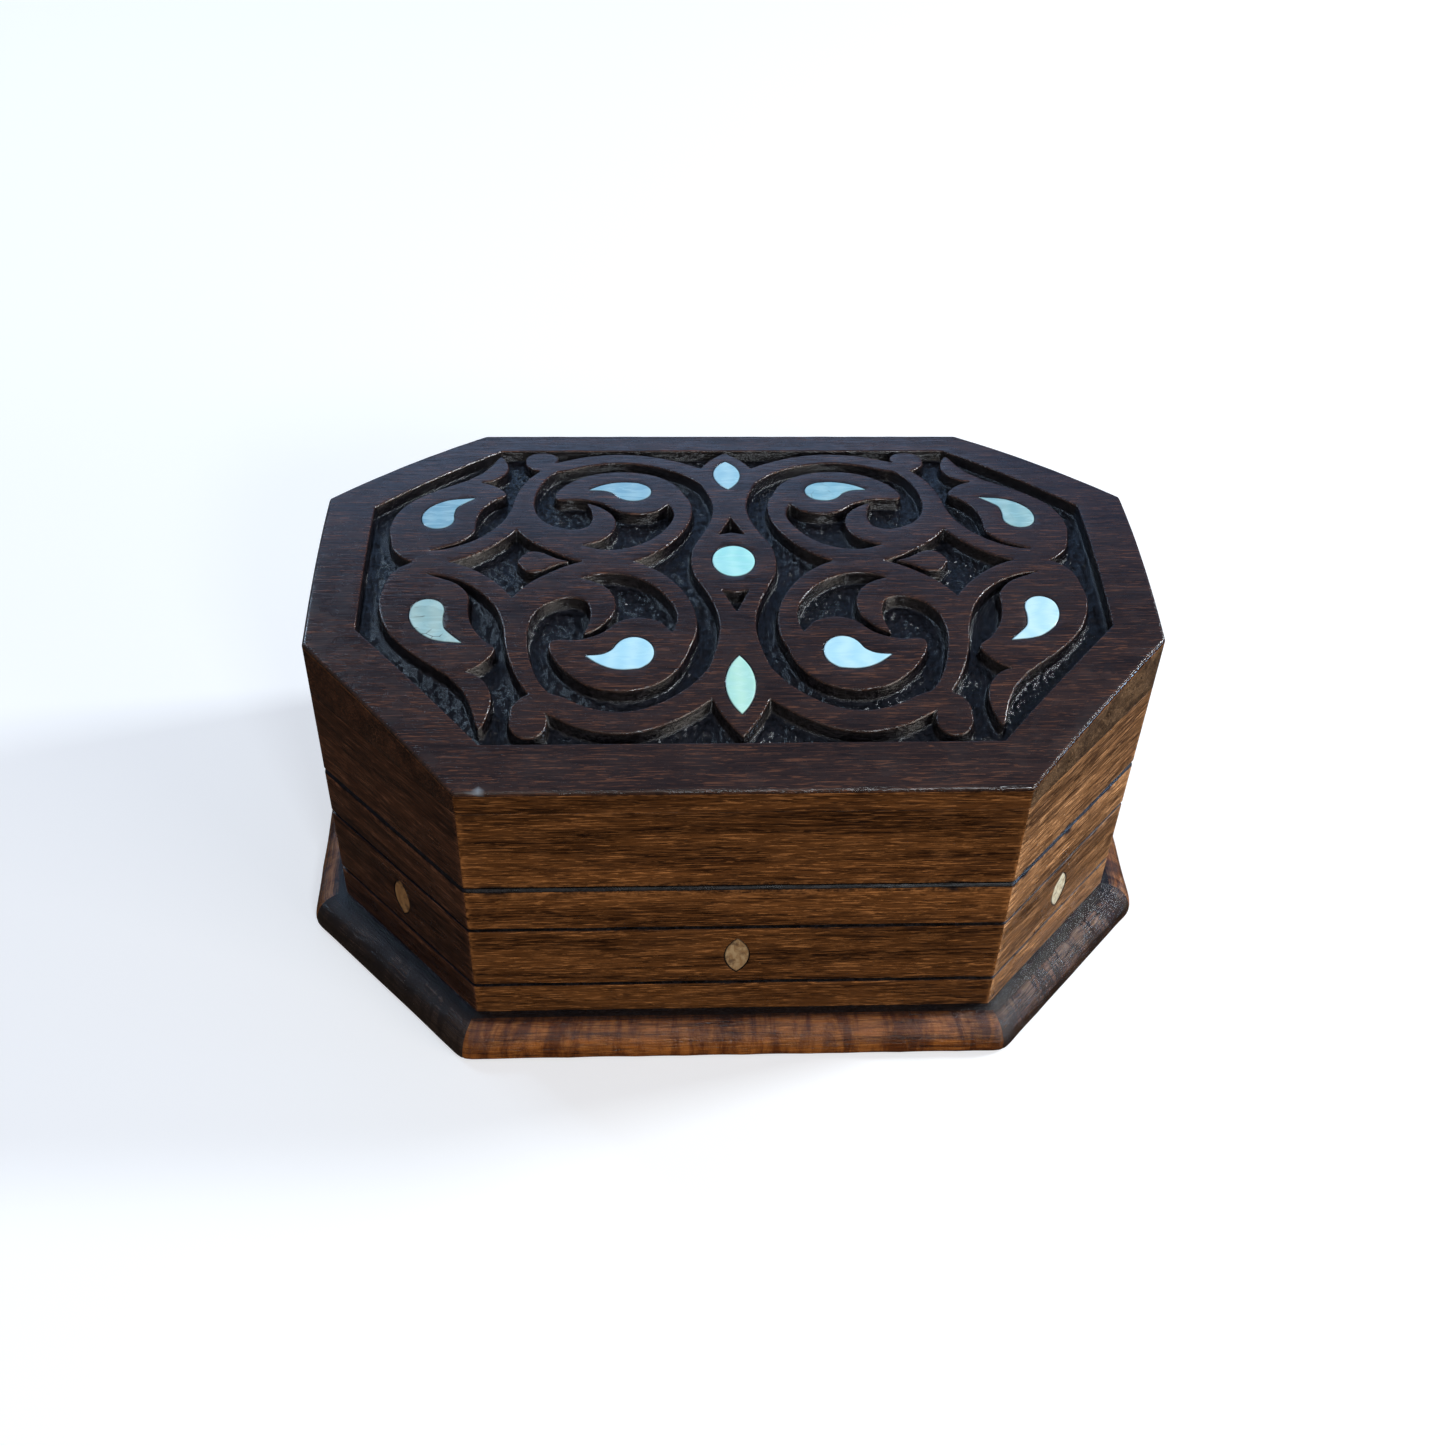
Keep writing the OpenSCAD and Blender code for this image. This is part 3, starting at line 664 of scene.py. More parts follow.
def shellMaterial():
    # Nacre: soft wavy layers between two pale colours, a glassy coat, and fine dark cracks where marked.
    material, tree, shader = newMaterial("shellNacre")
    place = objectPlace(tree)
    warp = noise(tree, stretched(tree, place, (0.14, 0.55, 0.3)), 1, 4, 0.6, 0.6)
    layers = tree.nodes.new("ShaderNodeTexWave")
    plug(tree, layers.inputs["Vector"], stretched(tree, place, (0.12, 0.6, 0.3)))
    for label, number in {"Scale": 0.7, "Distortion": 4.0, "Detail": 3.0, "Detail Scale": 0.9}.items():
        layers.inputs[label].default_value = number
    share = remapped(tree, warp, 0.35, 0.65, 0.0, 0.3)
    pale = mixed(tree, share, attribute(tree, "tint", "Color"), nacreColors["pale"])
    deep = mixed(tree, 1.0, pale, nacreColors["layer"], "MULTIPLY")
    color = mixed(tree, times(tree, layers.outputs["Fac"], 0.6), pale, deep)
    plates = cells(tree, stretched(tree, place, (0.5, 0.9, 0.5)), 0.6, "DISTANCE_TO_EDGE")
    patch = noise(tree, stretched(tree, place, (0.28, 0.28, 0.28), (4.1, 0.7, 0)), 1, 2)
    crack = times(tree, remapped(tree, plates, 0.05, 0.0), remapped(tree, patch, 0.5, 0.58))
    color = mixed(tree, times(tree, crack, attribute(tree, "flaw")), color, nacreColors["crack"])
    color = mixed(tree, attribute(tree, "sunk"), color, nacreColors["rim"])
    shader.inputs["Coat Weight"].default_value = 0.5
    shader.inputs["Coat Roughness"].default_value = 0.1
    finished(tree, shader, color, remapped(tree, warp, 0.3, 0.7, 0.16, 0.34), warp, 0.15, 0.2)
    return material


boneColors = {
    "dark": (0.30, 0.17, 0.075, 1),
    "light": (0.46, 0.31, 0.16, 1),
    "stain": (0.09, 0.05, 0.028, 1),
    "rim": (0.035, 0.02, 0.012, 1),
}


def boneMaterial():
    # Streaky bone with brown stains and a dark line round the edge.
    material, tree, shader = newMaterial("inlayBone")
    place = attribute(tree, "grainPlace", "Vector")
    fibre = noise(tree, stretched(tree, place, (0.9, 0.35, 0.9)), 1.2, 4, 0.65, 0.6)
    color = mixed(tree, remapped(tree, fibre, 0.35, 0.65), boneColors["dark"], boneColors["light"])
    stain = remapped(tree, noise(tree, place, 0.5, 3, 0.6), 0.5, 0.66)
    color = mixed(tree, times(tree, stain, 0.75), color, boneColors["stain"])
    color = mixed(tree, 1.0, color, attribute(tree, "tone", "Color"), "MULTIPLY")
    color = mixed(tree, attribute(tree, "sunk"), color, boneColors["rim"])
    finished(tree, shader, color, remapped(tree, fibre, 0.3, 0.7, 0.3, 0.5), fibre, 0.3, 0.1)
    return material


feltColors = {
    "deep": (0.10, 0.006, 0.014, 1),
    "red": (0.19, 0.014, 0.028, 1),
    "nap": (0.26, 0.03, 0.05, 1),
}


def feltMaterial():
    # Red felt: slow patches where the nap lies one way or the other, and fine fuzz.
    material, tree, shader = newMaterial("liningFelt")
    place = objectPlace(tree)
    nap = noise(tree, place, 3.2, 5, 0.75, 1.0)
    patches = noise(tree, place, 0.09, 3, 0.6)
    color = mixed(tree, remapped(tree, patches, 0.35, 0.65), feltColors["deep"], feltColors["red"])
    fuzz = times(tree, remapped(tree, nap, 0.4, 0.7), 0.5)
    color = mixed(tree, fuzz, color, feltColors["nap"])
    shader.inputs["Sheen Weight"].default_value = 0.15
    shader.inputs["Sheen Roughness"].default_value = 0.5
    finished(tree, shader, color, remapped(tree, nap, 0.3, 0.7, 0.8, 1.0), nap, 0.6, 0.35)
    return material


brassColors = {
    "bright": (0.66, 0.42, 0.15, 1),
    "tarnish": (0.20, 0.11, 0.04, 1),
    "brushed": (0.42, 0.27, 0.1, 1),
}


def brassMaterial():
    # Brushed brass with patches of tarnish, duller where it is tarnished.
    material, tree, shader = newMaterial("agedBrass")
    place = objectPlace(tree)
    tarnish = remapped(tree, noise(tree, place, 0.7, 5, 0.65, 0.5), 0.42, 0.68)
    brushed = noise(tree, stretched(tree, place, (0.4, 6, 6)), 1, 3, 0.6)
    color = mixed(tree, tarnish, brassColors["bright"], brassColors["tarnish"])
    color = mixed(tree, times(tree, brushed, 0.25), color, brassColors["brushed"])
    shader.inputs["Metallic"].default_value = 1.0
    finished(tree, shader, color, plus(tree, 0.24, times(tree, tarnish, 0.3)), brushed, 0.15, 0.05)
    return material


wallWood = woodMaterial("wallWood", woodKinds["wallWood"])
boardWood = woodMaterial("boardWood", woodKinds["boardWood"])
plinthWood = woodMaterial("plinthWood", woodKinds["plinthWood"])
backWood = woodMaterial("backWood", woodKinds["wallWood"], marked=False)
bottomWood = woodMaterial("bottomWood", woodKinds["bottomWood"], marked=False)
shellNacre, inlayBone = shellMaterial(), boneMaterial()
liningFelt, agedBrass = feltMaterial(), brassMaterial()
print("materials made")


# Carved lid board.

lidSettings = {
    # distance from a carved edge into the ground, and the depth there
    "edgeAcross": [-0.34, -0.17, -0.06, 0.04, 0.26, 0.42, 0.70],
    "edgeSunk": [0.0, 0.03, 0.12, 0.36, 2.20, 2.48, 2.6],
    # the same for the pockets of the inlays
    "pocketAcross": [-0.14, -0.04, 0.03, 0.09],
    "pocketSunk": [0.0, 0.05, 0.5, 1.2],
    "groundStep": 0.56,       # samples of the chiselled ground, each shifted by about the jitter
    "groundJitter": 0.12,
    "topStep": 1.7,           # samples of the smooth top
    "topClear": 0.9,          # how far those keep from the carving
    "stippleSize": 1.1,       # size of one chisel mark
    "stippleDepth": 0.8,
    "swell": 0.07,            # slower unevenness of the ground
    "rimRadius": 0.7,         # rounding of the outer edge
    "rimStep": 1.2,           # samples along it
    "rimShares": [0.12, 0.35, 0.65, 1.0],   # rows of samples across it, as shares of the radius
    "topWave": 0.035,         # unevenness of the hand-finished top
    "sideShares": [0.95, 0.6, 0.25],        # rows of samples down the sides
    "footBevel": 0.1,
    "chipPlace": (-43.8, -49.6),   # a chip on the front arris, and its half length and half width
    "chipSize": (1.1, 0.45),
    "chipReach": 0.6,         # how far it runs down the side
}
# Painted light and shade for each face of the walls: the front right is made brighter and bluer as if lit
# from the right, the front left darker, and the other faces a little darker.
paintedOtherLight = (0.9, 0.9, 0.95)
paintedFaceLight = {"front": (1.0, 1.0, 1.0), "front_left": (0.6, 0.62, 1.0), "front_right": (1.9, 2.4, 3.5)}
# Painted light and shade for the sides of the lid board: greyer and bluer on the front right, elsewhere a
# darker copy of the face's painted light.
paintedEdgeLights = {"front_right": (0.7, 1.05, 1.9)}


def paintedWallLight(name):
    # The painted light and shade of a face.
    return np.array(paintedFaceLight.get(name, paintedOtherLight))


def paintedEdgeLight(name):
    return paintedEdgeLights.get(name, 0.8 * paintedWallLight(name))


def rimDrop(inset, radius):
    # Quarter circle: radius less the square root of radius squared less the remaining inset squared.
    left = np.clip(radius - inset, 0, radius)
    return radius - np.sqrt(radius ** 2 - left ** 2)


def lidSamples(carved, pockets, rim):
    # Where the lid board's top is sampled: rows along every edge, and grids over the ground and the top.
    s = lidSettings
    low, high = (-halfLength, -halfWidth), (halfLength, halfWidth)
    inward = -sideways(rim)
    rimRows = [rim + inward * (s["rimRadius"] * share) for share in s["rimShares"]]
    ground = hexGrid(low, high, s["groundStep"])
    jitter = np.stack([ripples(*ground.T, 2.1, 4), ripples(*ground.T, 2.3, 5)], axis=1)
    ground = ground + s["groundJitter"] * jitter
    ground = ground[signedDistance(ground, carved) > s["edgeAcross"][-1] + 0.15]
    top = hexGrid(low, high, s["topStep"])
    clear = (signedDistance(top, [rim]) > s["rimStep"]) & (signedDistance(top, carved) < -s["topClear"])
    top = top[clear & (np.abs(signedDistance(top, pockets)) > 0.5)]
    carvedRows = rowsBeside(carved, s["edgeAcross"], carved)
    pocketRows = rowsBeside([loop[::-1] for loop in pockets], [-x for x in s["pocketAcross"]], pockets)
    return np.vstack(rimRows + [thinned(np.vstack([carvedRows, pocketRows]), 0.03), ground, top])


def lidMarks(places, points, rim, fromEdge, fromPocket, fromRim):
    # Stain where it is sunk, wear along the edges, painted light and shade on each side, and the chip.
    s = lidSettings
    below = np.zeros(len(places) - len(points))
    edge = np.exp(-((fromEdge + 0.1) / 0.3) ** 2)
    edge = np.maximum(edge, np.exp(-(np.maximum(fromRim, 0) / 0.5) ** 2))
    depth = np.clip(np.interp(fromEdge, s["edgeAcross"], s["edgeSunk"]) / s["edgeSunk"][-1], 0, 1)
    depth = np.maximum(depth, 0.9 * ramp(fromPocket, -0.1, 0.0))
    facing = np.argmax(rim @ faceOut.T - (boxCorners * faceOut).sum(axis=1), axis=1)
    # Painted light and shade of the board's sides, taken from the face that each side point looks out of.
    paintedSideLight = np.array([paintedEdgeLight(faceNames[i]) for i in facing])
    fromChip = np.linalg.norm((places[:, :2] - s["chipPlace"]) / s["chipSize"], axis=1)
    fromChip = fromChip + 0.25 * ripples(*places.T[:2], 1.2, 15)
    return {
        "grainPlace": places + (0, 31, 0),
        "sunk": np.concatenate([depth, below]),
        "edge": np.concatenate([edge, below]),
        "tone": np.vstack([np.ones((len(points), 3)), np.tile(paintedSideLight, (len(below) // len(rim), 1))]),
        "chip": (1 - ramp(fromChip, 0.7, 1.1)) * (places[:, 2] > boardRim - s["chipReach"]),
    }


def makeLidBoard():
    # Height is the arch, less the depth read from the distance to the nearest carved edge,
    # pocket edge or rim.
    s = lidSettings
    carved = [smoothed(loop, boxSettings["sampleStep"]) for loop in carvedOutlines]
    pockets = [smoothed(loop, boxSettings["sampleStep"]) for loop in pocketOutlines]
    rim = roundedBox(boxSettings["arrisRadius"], s["rimStep"])
    points, triangles = triangulated(rim, lidSamples(carved, pockets, rim))
    x, y = points.T
    fromEdge = signedDistance(points, carved)
    fromPocket = signedDistance(points, pockets)
    fromRim = signedDistance(points, [rim])
    sunk = np.maximum(np.interp(fromEdge, s["edgeAcross"], s["edgeSunk"]),
                      np.interp(fromPocket, s["pocketAcross"], s["pocketSunk"]))
    inGround = ramp(fromEdge, 0.45, 1.0)
    chisel = (pits(x, y, s["stippleSize"], 8) - 0.45) * s["stippleDepth"]
    chisel = chisel + s["swell"] * ripples(x, y, 5.0, 9)
    onTop = 1 - np.clip(sunk / 0.3, 0, 1)
    drop = sunk - inGround * chisel + rimDrop(np.maximum(fromRim, 0), s["rimRadius"])
    drop = drop + onTop * s["topWave"] * (0.5 + 0.5 * ripples(x, y, 9.0, 10))
    z = archHeight(y) - drop

    side = z[:len(rim)] - boardBottom
    rows = [np.column_stack([rim, boardBottom + side * share]) for share in s["sideShares"]]
    rows.append(np.column_stack([rim, np.full(len(rim), boardBottom + s["footBevel"])]))
    rows.append(np.column_stack([rim - sideways(rim) * s["footBevel"], np.full(len(rim), boardBottom)]))
    places, faces = closedBlock(np.column_stack([points, z]), triangles, len(rim), rows)
    marks = lidMarks(places, points, rim, fromEdge, fromPocket, fromRim)
    print("lid board:", len(places), "points,", len(triangles), "triangles on top")
    return addPiece("lidBoard", "lid", ["lid_board"], places, faces, marks, boardWood,
                    60.0, sideMaterial=wallWood, topCount=len(triangles))


# Shell inlays.

shellTints = {
    # colour of each shell, and how cracked it is
    "shell_oval_middle": ((0.475, 0.94, 0.87), 0.0),
    "shell_drop_front": ((0.55, 0.89, 0.72), 0.0),
    "shell_drop_back": ((0.44, 0.71, 0.77), 0.0),
    "shell_comma_inner_front_left": ((0.54, 0.86, 0.98), 0.0),
    "shell_comma_inner_front_right": ((0.57, 0.88, 0.98), 0.0),
    "shell_comma_inner_back_left": ((0.27, 0.49, 0.58), 0.0),
    "shell_comma_inner_back_right": ((0.29, 0.54, 0.59), 0.35),
    "shell_comma_outer_front_left": ((0.39, 0.54, 0.50), 1.0),
    "shell_comma_outer_front_right": ((0.65, 0.92, 0.98), 0.0),
    "shell_comma_outer_back_left": ((0.22, 0.42, 0.51), 0.0),
    "shell_comma_outer_back_right": ((0.35, 0.56, 0.54), 0.1),
}
inlaySettings = {
    "step": 0.4,          # samples along the edge
    "grid": 0.55,         # samples over the face
    "edge": 0.16,         # width of the soft edge
    "dip": 0.07,          # depth of the soft edge
    "sunk": 0.02,         # how far the face lies under the wood
    "seat": 1.15,         # depth of a shell's underside
    "boneGap": 0.1,       # clearance round a bone inlay
    "boneSeat": 1.5,      # depth of a bone's back
}


def makeInlay(outline):
    # Surface of a thin plate: its top dips by a quarter wave to a soft edge.
    s = inlaySettings
    rim = resampled(outline, s["step"])
    grid = hexGrid(rim.min(axis=0), rim.max(axis=0), s["grid"])
    rows = rowsBeside([rim], [-s["edge"] * 0.5, -s["edge"], -s["edge"] * 2.2], [rim])
    inner = np.vstack([rows, grid[signedDistance(grid, [rim]) > 0.5]])
    points, triangles = triangulated(rim, inner)
    inset = np.maximum(signedDistance(points, [rim]), 0)
    drop = s["dip"] * (1 - np.sin(np.clip(inset / s["edge"], 0, 1) * math.pi / 2)) + s["sunk"]
    drop = drop + 0.015 * (1 + ripples(*points.T, 4.0, 21))
    return points, triangles, drop, rim, inset


def makeShell(name):
    # A thin plate laid on the arch of the lid.
    outline = topOutlines(*cadMesh(name))[0]
    points, triangles, drop, rim, inset = makeInlay(smoothed(outline, inlaySettings["step"]))
    places = np.column_stack([points, archHeight(points[:, 1]) - drop])
    foot = np.column_stack([rim, archHeight(rim[:, 1]) - inlaySettings["seat"]])
    places, faces = closedBlock(places, triangles, len(rim), [foot])
    tint, flaw = shellTints[name]
    marks = {
        "tint": np.tile(np.array(tint), (len(places), 1)),
        "flaw": np.full(len(places), flaw),
        "sunk": np.concatenate([1 - ramp(inset, 0.0, 0.14), np.ones(len(rim))]) * 0.7,
    }
    return addPiece(camel(name), "lid", [name], places, faces, marks, shellNacre, 50.0)


# Walls.

wallSettings = {
    "columnStep": 2.4,        # samples along a wall
    "rowStep": 2.6,           # samples up a wall
    "seamRows": [0.0, 0.15, 0.35, 0.6],      # samples beside the seam between lid and base
    "endRows": [0.0, 0.08, 0.3],             # samples beside the other long edge
    "bevel": 0.45,            # bevel at the seam
    "endBevel": 0.05,
    # distance from the middle of a groove, and the depth there
    "grooveAcross": [-0.7, -0.5, -0.36, 0.0, 0.36, 0.5, 0.7],
    "grooveSunk": [0.0, 0.08, 0.5, 0.62, 0.5, 0.08, 0.0],
    "wander": 0.05,           # how far a hand-cut groove wanders
    "ragged": 0.03,           # the same for the stain at the seam
    "wave": 0.03,             # unevenness of the face
    "shoulder": 1.0,          # how far the stain runs into the wood's edges
    # distance into the pocket of a bone, and the depth there
    "pocketAcross": [-0.1, -0.02, 0.03, 0.08],
    "pocketSunk": [0.0, 0.04, 0.4, 1.6],
    "boneLength": 9.6,
    "boneWidth": 4.6,
    # heights of lighter and darker bands of the boards, and how light each is
    "shadeHeights": [6, 13, 28, 31, 39, 42, 45, 49, 60],
    "shade": [0.75, 0.92, 0.85, 1.05, 1.05, 0.9, 1.25, 0.9, 0.75],
}


def lensOutline(length, width, step):
    # Two equal arcs through the two points of a lens; radius from half the length and half the width.
    radius = (length ** 2 + width ** 2) / (4 * width)
    half = math.asin(length / 2 / radius)
    angles = np.linspace(-half, half, round(length / step), endpoint=False)
    side = np.stack([radius * np.cos(angles) - radius + width / 2, radius * np.sin(angles)], axis=1)
    return np.vstack([side, -side])


def onFace(face, along, height, depth):
    # A point along a face, at a height, moved into the wood; ends keep to the mitre planes.
    share = along / faceLengths[face]
    lean = np.tan(halfTurns[face]) * (1 - share) - np.tan(halfTurns[(face + 1) % 8]) * share
    along = along + depth * lean
    flat = boxCorners[face] + along[:, None] * faceAlong[face] - depth[:, None] * faceOut[face]
    return np.column_stack([flat, height])


def arrisDrop(face, along):
    # Depth of the rounded upright corners: a circle that touches both faces.
    length, radius = faceLengths[face], boxSettings["arrisRadius"]
    total = np.zeros(len(along))
    for gap, half in ((along, halfTurns[face]), (length - along, halfTurns[(face + 1) % 8])):
        touch = radius * math.tan(half)
        side = np.clip((touch - gap) / touch, 0, 1) * radius * math.sin(half)
        total = np.maximum(total, radius - np.sqrt(radius ** 2 - side ** 2))
    return total


def boneMiddle(name, face):
    # Where the middle of a face's bone lies: along the face, and up.
    low, high = nodeBox("bone_" + name)
    return np.array([faceLengths[face] / 2, (low[2] + high[2]) / 2])


def grooveHeights(places, face, low, high):
    # Middles of the two grooves, from the heights of the frame's own points at the ends of a wall.
    fromMiddle = np.abs((places[:, :2] - boxCorners[face]) @ faceAlong[face] - faceLengths[face] / 2)
    levels = np.unique(places[fromMiddle > faceLengths[face] / 2 - 1.0][:, 2])
    levels = levels[(levels > low + 1) & (levels < high - 1)]
    return [levels[:2].mean(), levels[-2:].mean()]


def wander(face, along, line):
    # Sideways drift of a groove along a face; none at its ends.
    fromEnd = np.minimum(along, faceLengths[face] - along)
    drift = ripples(along, along * 0, 14.0, 40 + face * 3 + line)
    return wallSettings["wander"] * drift * ramp(fromEnd, 0.3, 3.0)


def wallSamples(face, seam, other, grooves):
    # The outline of a wall's face and rows of samples over it, closest beside seam, grooves and corners.
    s = wallSettings
    length = faceLengths[face]
    low, high = min(seam, other), max(seam, other)
    touch = boxSettings["arrisRadius"] * math.tan(math.pi / 8)
    edgeSpots = touch * np.array([0.25, 0.5, 0.75, 1.0])
    middle = np.linspace(touch + 0.8, length - touch - 0.8, round(length / s["columnStep"]))
    columns = np.concatenate([[0], edgeSpots, middle, length - edgeSpots[::-1], [length]])
    inward = math.copysign(1, other - seam)
    seamRows = seam + inward * np.array(s["seamRows"])
    endRows = other - inward * np.array(s["endRows"])
    flatRows = np.arange(low + 1.6, high - 1.4, s["rowStep"])
    for line in grooves:
        flatRows = flatRows[np.abs(flatRows - line) > 1.2]
    straight = np.concatenate([seamRows, endRows, flatRows])
    points = [np.stack([columns, np.full(len(columns), row)], axis=1) for row in straight]
    heights = list(straight)
    for i, line in enumerate(grooves):
        for across in s["grooveAcross"]:
            points.append(np.stack([columns, line + across + wander(face, columns, i)], axis=1))
            heights.append(line + across)
    points = np.vstack(points)
    levels = np.unique(heights)
    rim = np.vstack([
        np.stack([columns[:-1], np.full(len(columns) - 1, low)], axis=1),
        np.stack([np.full(len(levels) - 1, length), levels[:-1]], axis=1),
        np.stack([columns[:0:-1], np.full(len(columns) - 1, high)], axis=1),
        np.stack([np.zeros(len(levels) - 1), levels[:0:-1]], axis=1),
    ])
    tiny = boxSettings["touching"]
    within = (points[:, 0] > tiny) & (points[:, 0] < length - tiny)
    return rim, points[within & (points[:, 1] > low + tiny) & (points[:, 1] < high - tiny)]


def wallDepths(face, along, height, seam, other, grooves, fromPocket):
    # Depth into the wood is the largest of groove, bevel and pocket, plus a slight wave and the
    # rounding of the corners; stain lies in the grooves and round the pocket, and the dark band along the
    # seam is painted shade.
    s = wallSettings
    depth, stain = np.zeros(len(along)), np.zeros(len(along))
    for i, line in enumerate(grooves):
        groove = np.interp(height - line - wander(face, along, i), s["grooveAcross"], s["grooveSunk"])
        depth = np.maximum(depth, groove)
        stain = np.maximum(stain, groove / 0.5)
    fromSeam = np.abs(height - seam)
    depth = np.maximum(depth, np.clip(s["bevel"] - fromSeam, 0, s["bevel"]))
    # Painted shade: the band along the seam between lid and base is darkened to black.
    ragged = s["ragged"] * ripples(along, height * 0, 5.0, 33 + face)
    stain = np.maximum(stain, 1 - ramp(fromSeam + ragged, 0.45, 0.65))
    depth = np.maximum(depth, s["endBevel"] * (1 - ramp(np.abs(height - other), 0.0, 0.1)))
    depth = np.maximum(depth, np.interp(fromPocket, s["pocketAcross"], s["pocketSunk"]))
    stain = np.maximum(stain, ramp(fromPocket, -0.12, -0.02))
    fromEnd = np.minimum(along, faceLengths[face] - along)
    wave = s["wave"] * ramp(fromEnd, 0.5, 4.0) * (1 + ripples(along, height, 17.0, 60 + face)) * 0.5
    edge = np.maximum(np.exp(-(fromEnd / 0.6) ** 2), np.exp(-((fromSeam - 0.55) / 0.2) ** 2))
    return depth + wave + arrisDrop(face, along), np.clip(stain, 0, 1), edge


def makeWall(name, face, part):
    # One wall of the lid or the base, from its outer face to the inside of the wood.
    s = wallSettings
    node = part + "_wall_" + name
    isBase = part == "base"
    cadPlaces = cadMesh(node)[0]
    low, high = cadPlaces[:, 2].min(), cadPlaces[:, 2].max()
    seam, other = (high, low) if isBase else (low, high)
    grooves = grooveHeights(cadPlaces, face, low, high) if isBase else []
    rim, points = wallSamples(face, seam, other, grooves)
    pocket = []
    if isBase:
        lens = lensOutline(s["boneLength"], s["boneWidth"], boxSettings["sampleStep"])
        pocket = [lens + boneMiddle(name, face)]
        ring = rowsBeside(pocket, [-x for x in s["pocketAcross"]], pocket)
        points = np.vstack([points[np.abs(signedDistance(points, pocket)) > 0.4], thinned(ring, 0.03)])
    points, triangles = triangulated(rim, points)
    along, height = points.T
    fromPocket = signedDistance(points, pocket) if pocket else np.full(len(points), -9.0)
    depth, stain, edge = wallDepths(face, along, height, seam, other, grooves, fromPocket)

    front = onFace(face, along, height, depth)
    inner = [np.full(len(rim), into) for into in (s["shoulder"], boxSettings["wallThickness"])]
    rows = [onFace(face, *rim.T, into) for into in inner]
    places, faces = closedBlock(front, triangles, len(rim), rows)
    grain = [np.column_stack([along, height, depth])] + [np.column_stack([rim, into]) for into in inner]
    grain = np.vstack(grain) + (face * 57, face * 23 + 90 * isBase, 0)
    inside = np.zeros(len(places) - len(points))
    level = places[:, 2] + 0.5 * ripples(*grain.T[:2], 30.0, 70)
    marks = {
        "grainPlace": grain,
        "sunk": np.concatenate([stain, inside]),
        "edge": np.concatenate([edge, inside]),
        # the boards' lighter and darker bands times the face's painted light and shade
        "tone": np.interp(level, s["shadeHeights"], s["shade"])[:, None] * paintedWallLight(name),
    }
    pieceName = camel(part, "wall", name)
    return addPiece(pieceName, part, [node], places, faces, marks, wallWood, 40.0)


# Bone inlays.

# Painted light and shade for the bones: the front-right one made brighter and bluer as if lit from the
# right, the front-left one made lighter and warmer.
paintedBoneLight = {"front_left": (1.15, 0.92, 0.68), "front_right": (1.75, 2.4, 3.4)}


def makeBone(name, face):
    # A thin lens-shaped plate set into a face of the base.
    s = wallSettings
    gap = 2 * inlaySettings["boneGap"]
    outline = lensOutline(s["boneLength"] - gap, s["boneWidth"] - gap, inlaySettings["step"])
    points, triangles, drop, rim, inset = makeInlay(outline + boneMiddle(name, face))
    seat = np.full(len(rim), inlaySettings["boneSeat"])
    front = onFace(face, *points.T, drop + inlaySettings["sunk"])
    places, faces = closedBlock(front, triangles, len(rim), [onFace(face, *rim.T, seat)])
    grain = np.vstack([np.column_stack([points, drop]), np.column_stack([rim, seat])])
    marks = {
        "grainPlace": grain + (face * 37, face * 11, 0),
        "sunk": np.concatenate([1 - ramp(inset, 0.05, 0.2), np.ones(len(rim))]) * 0.8,
        "tone": np.tile(paintedBoneLight.get(name, (1.0, 1.0, 1.0)), (len(places), 1)),
    }
    node = "bone_" + name
    return addPiece(camel(node), "base", [node], places, faces, marks, inlayBone, 50.0)


# Plinth.

plinthSettings = {
    "step": 1.6,          # samples along a face
    "ledge": 2.0,         # flat strip beside the wall
    "footHeight": 0.9,    # low upright foot under the nose
    "noseSamples": 19,
    "arris": 2.4,         # how far from a corner the rounding starts
    "arrisShares": [0, 0.2, 0.45, 0.75, 1.0],
    "rounding": 0.5,
    "wave": 0.10,         # unevenness of the hand-planed nose
}
# Painted light and shade for each face of the plinth: the front warmed, the front left darkened and blued,
# the front right darkened.
paintedPlinthLight = {
    "front": (1.05, 0.95, 0.72),
    "front_left": (0.12, 0.19, 0.48),
    "front_right": (0.2, 0.22, 0.34),
}


def plinthProfile(overhang, height):
    # Ledge, nose and low foot; the closed outline runs from the wall over the nose to the table.
    # The nose is a quarter ellipse: x is ledge + reach cos(angle), height is foot + drop sin(angle).
    ledge, low = plinthSettings["ledge"], plinthSettings["footHeight"]
    angles = np.linspace(math.pi / 2, 0, plinthSettings["noseSamples"])
    across = ledge + (overhang - ledge) * np.cos(angles)
    nose = np.stack([across, low + (height - low) * np.sin(angles)], axis=1)
    start = np.array([[0, height - 0.05], [ledge * 0.5, height - 0.03], [ledge - 0.3, height]])
    foot = np.array([[overhang - 0.06, low * 0.5], [overhang - 0.25, 0.12], [overhang - 0.6, 0.0]])
    return np.vstack([start, nose, foot, [[overhang / 2, 0], [0, 0]]])


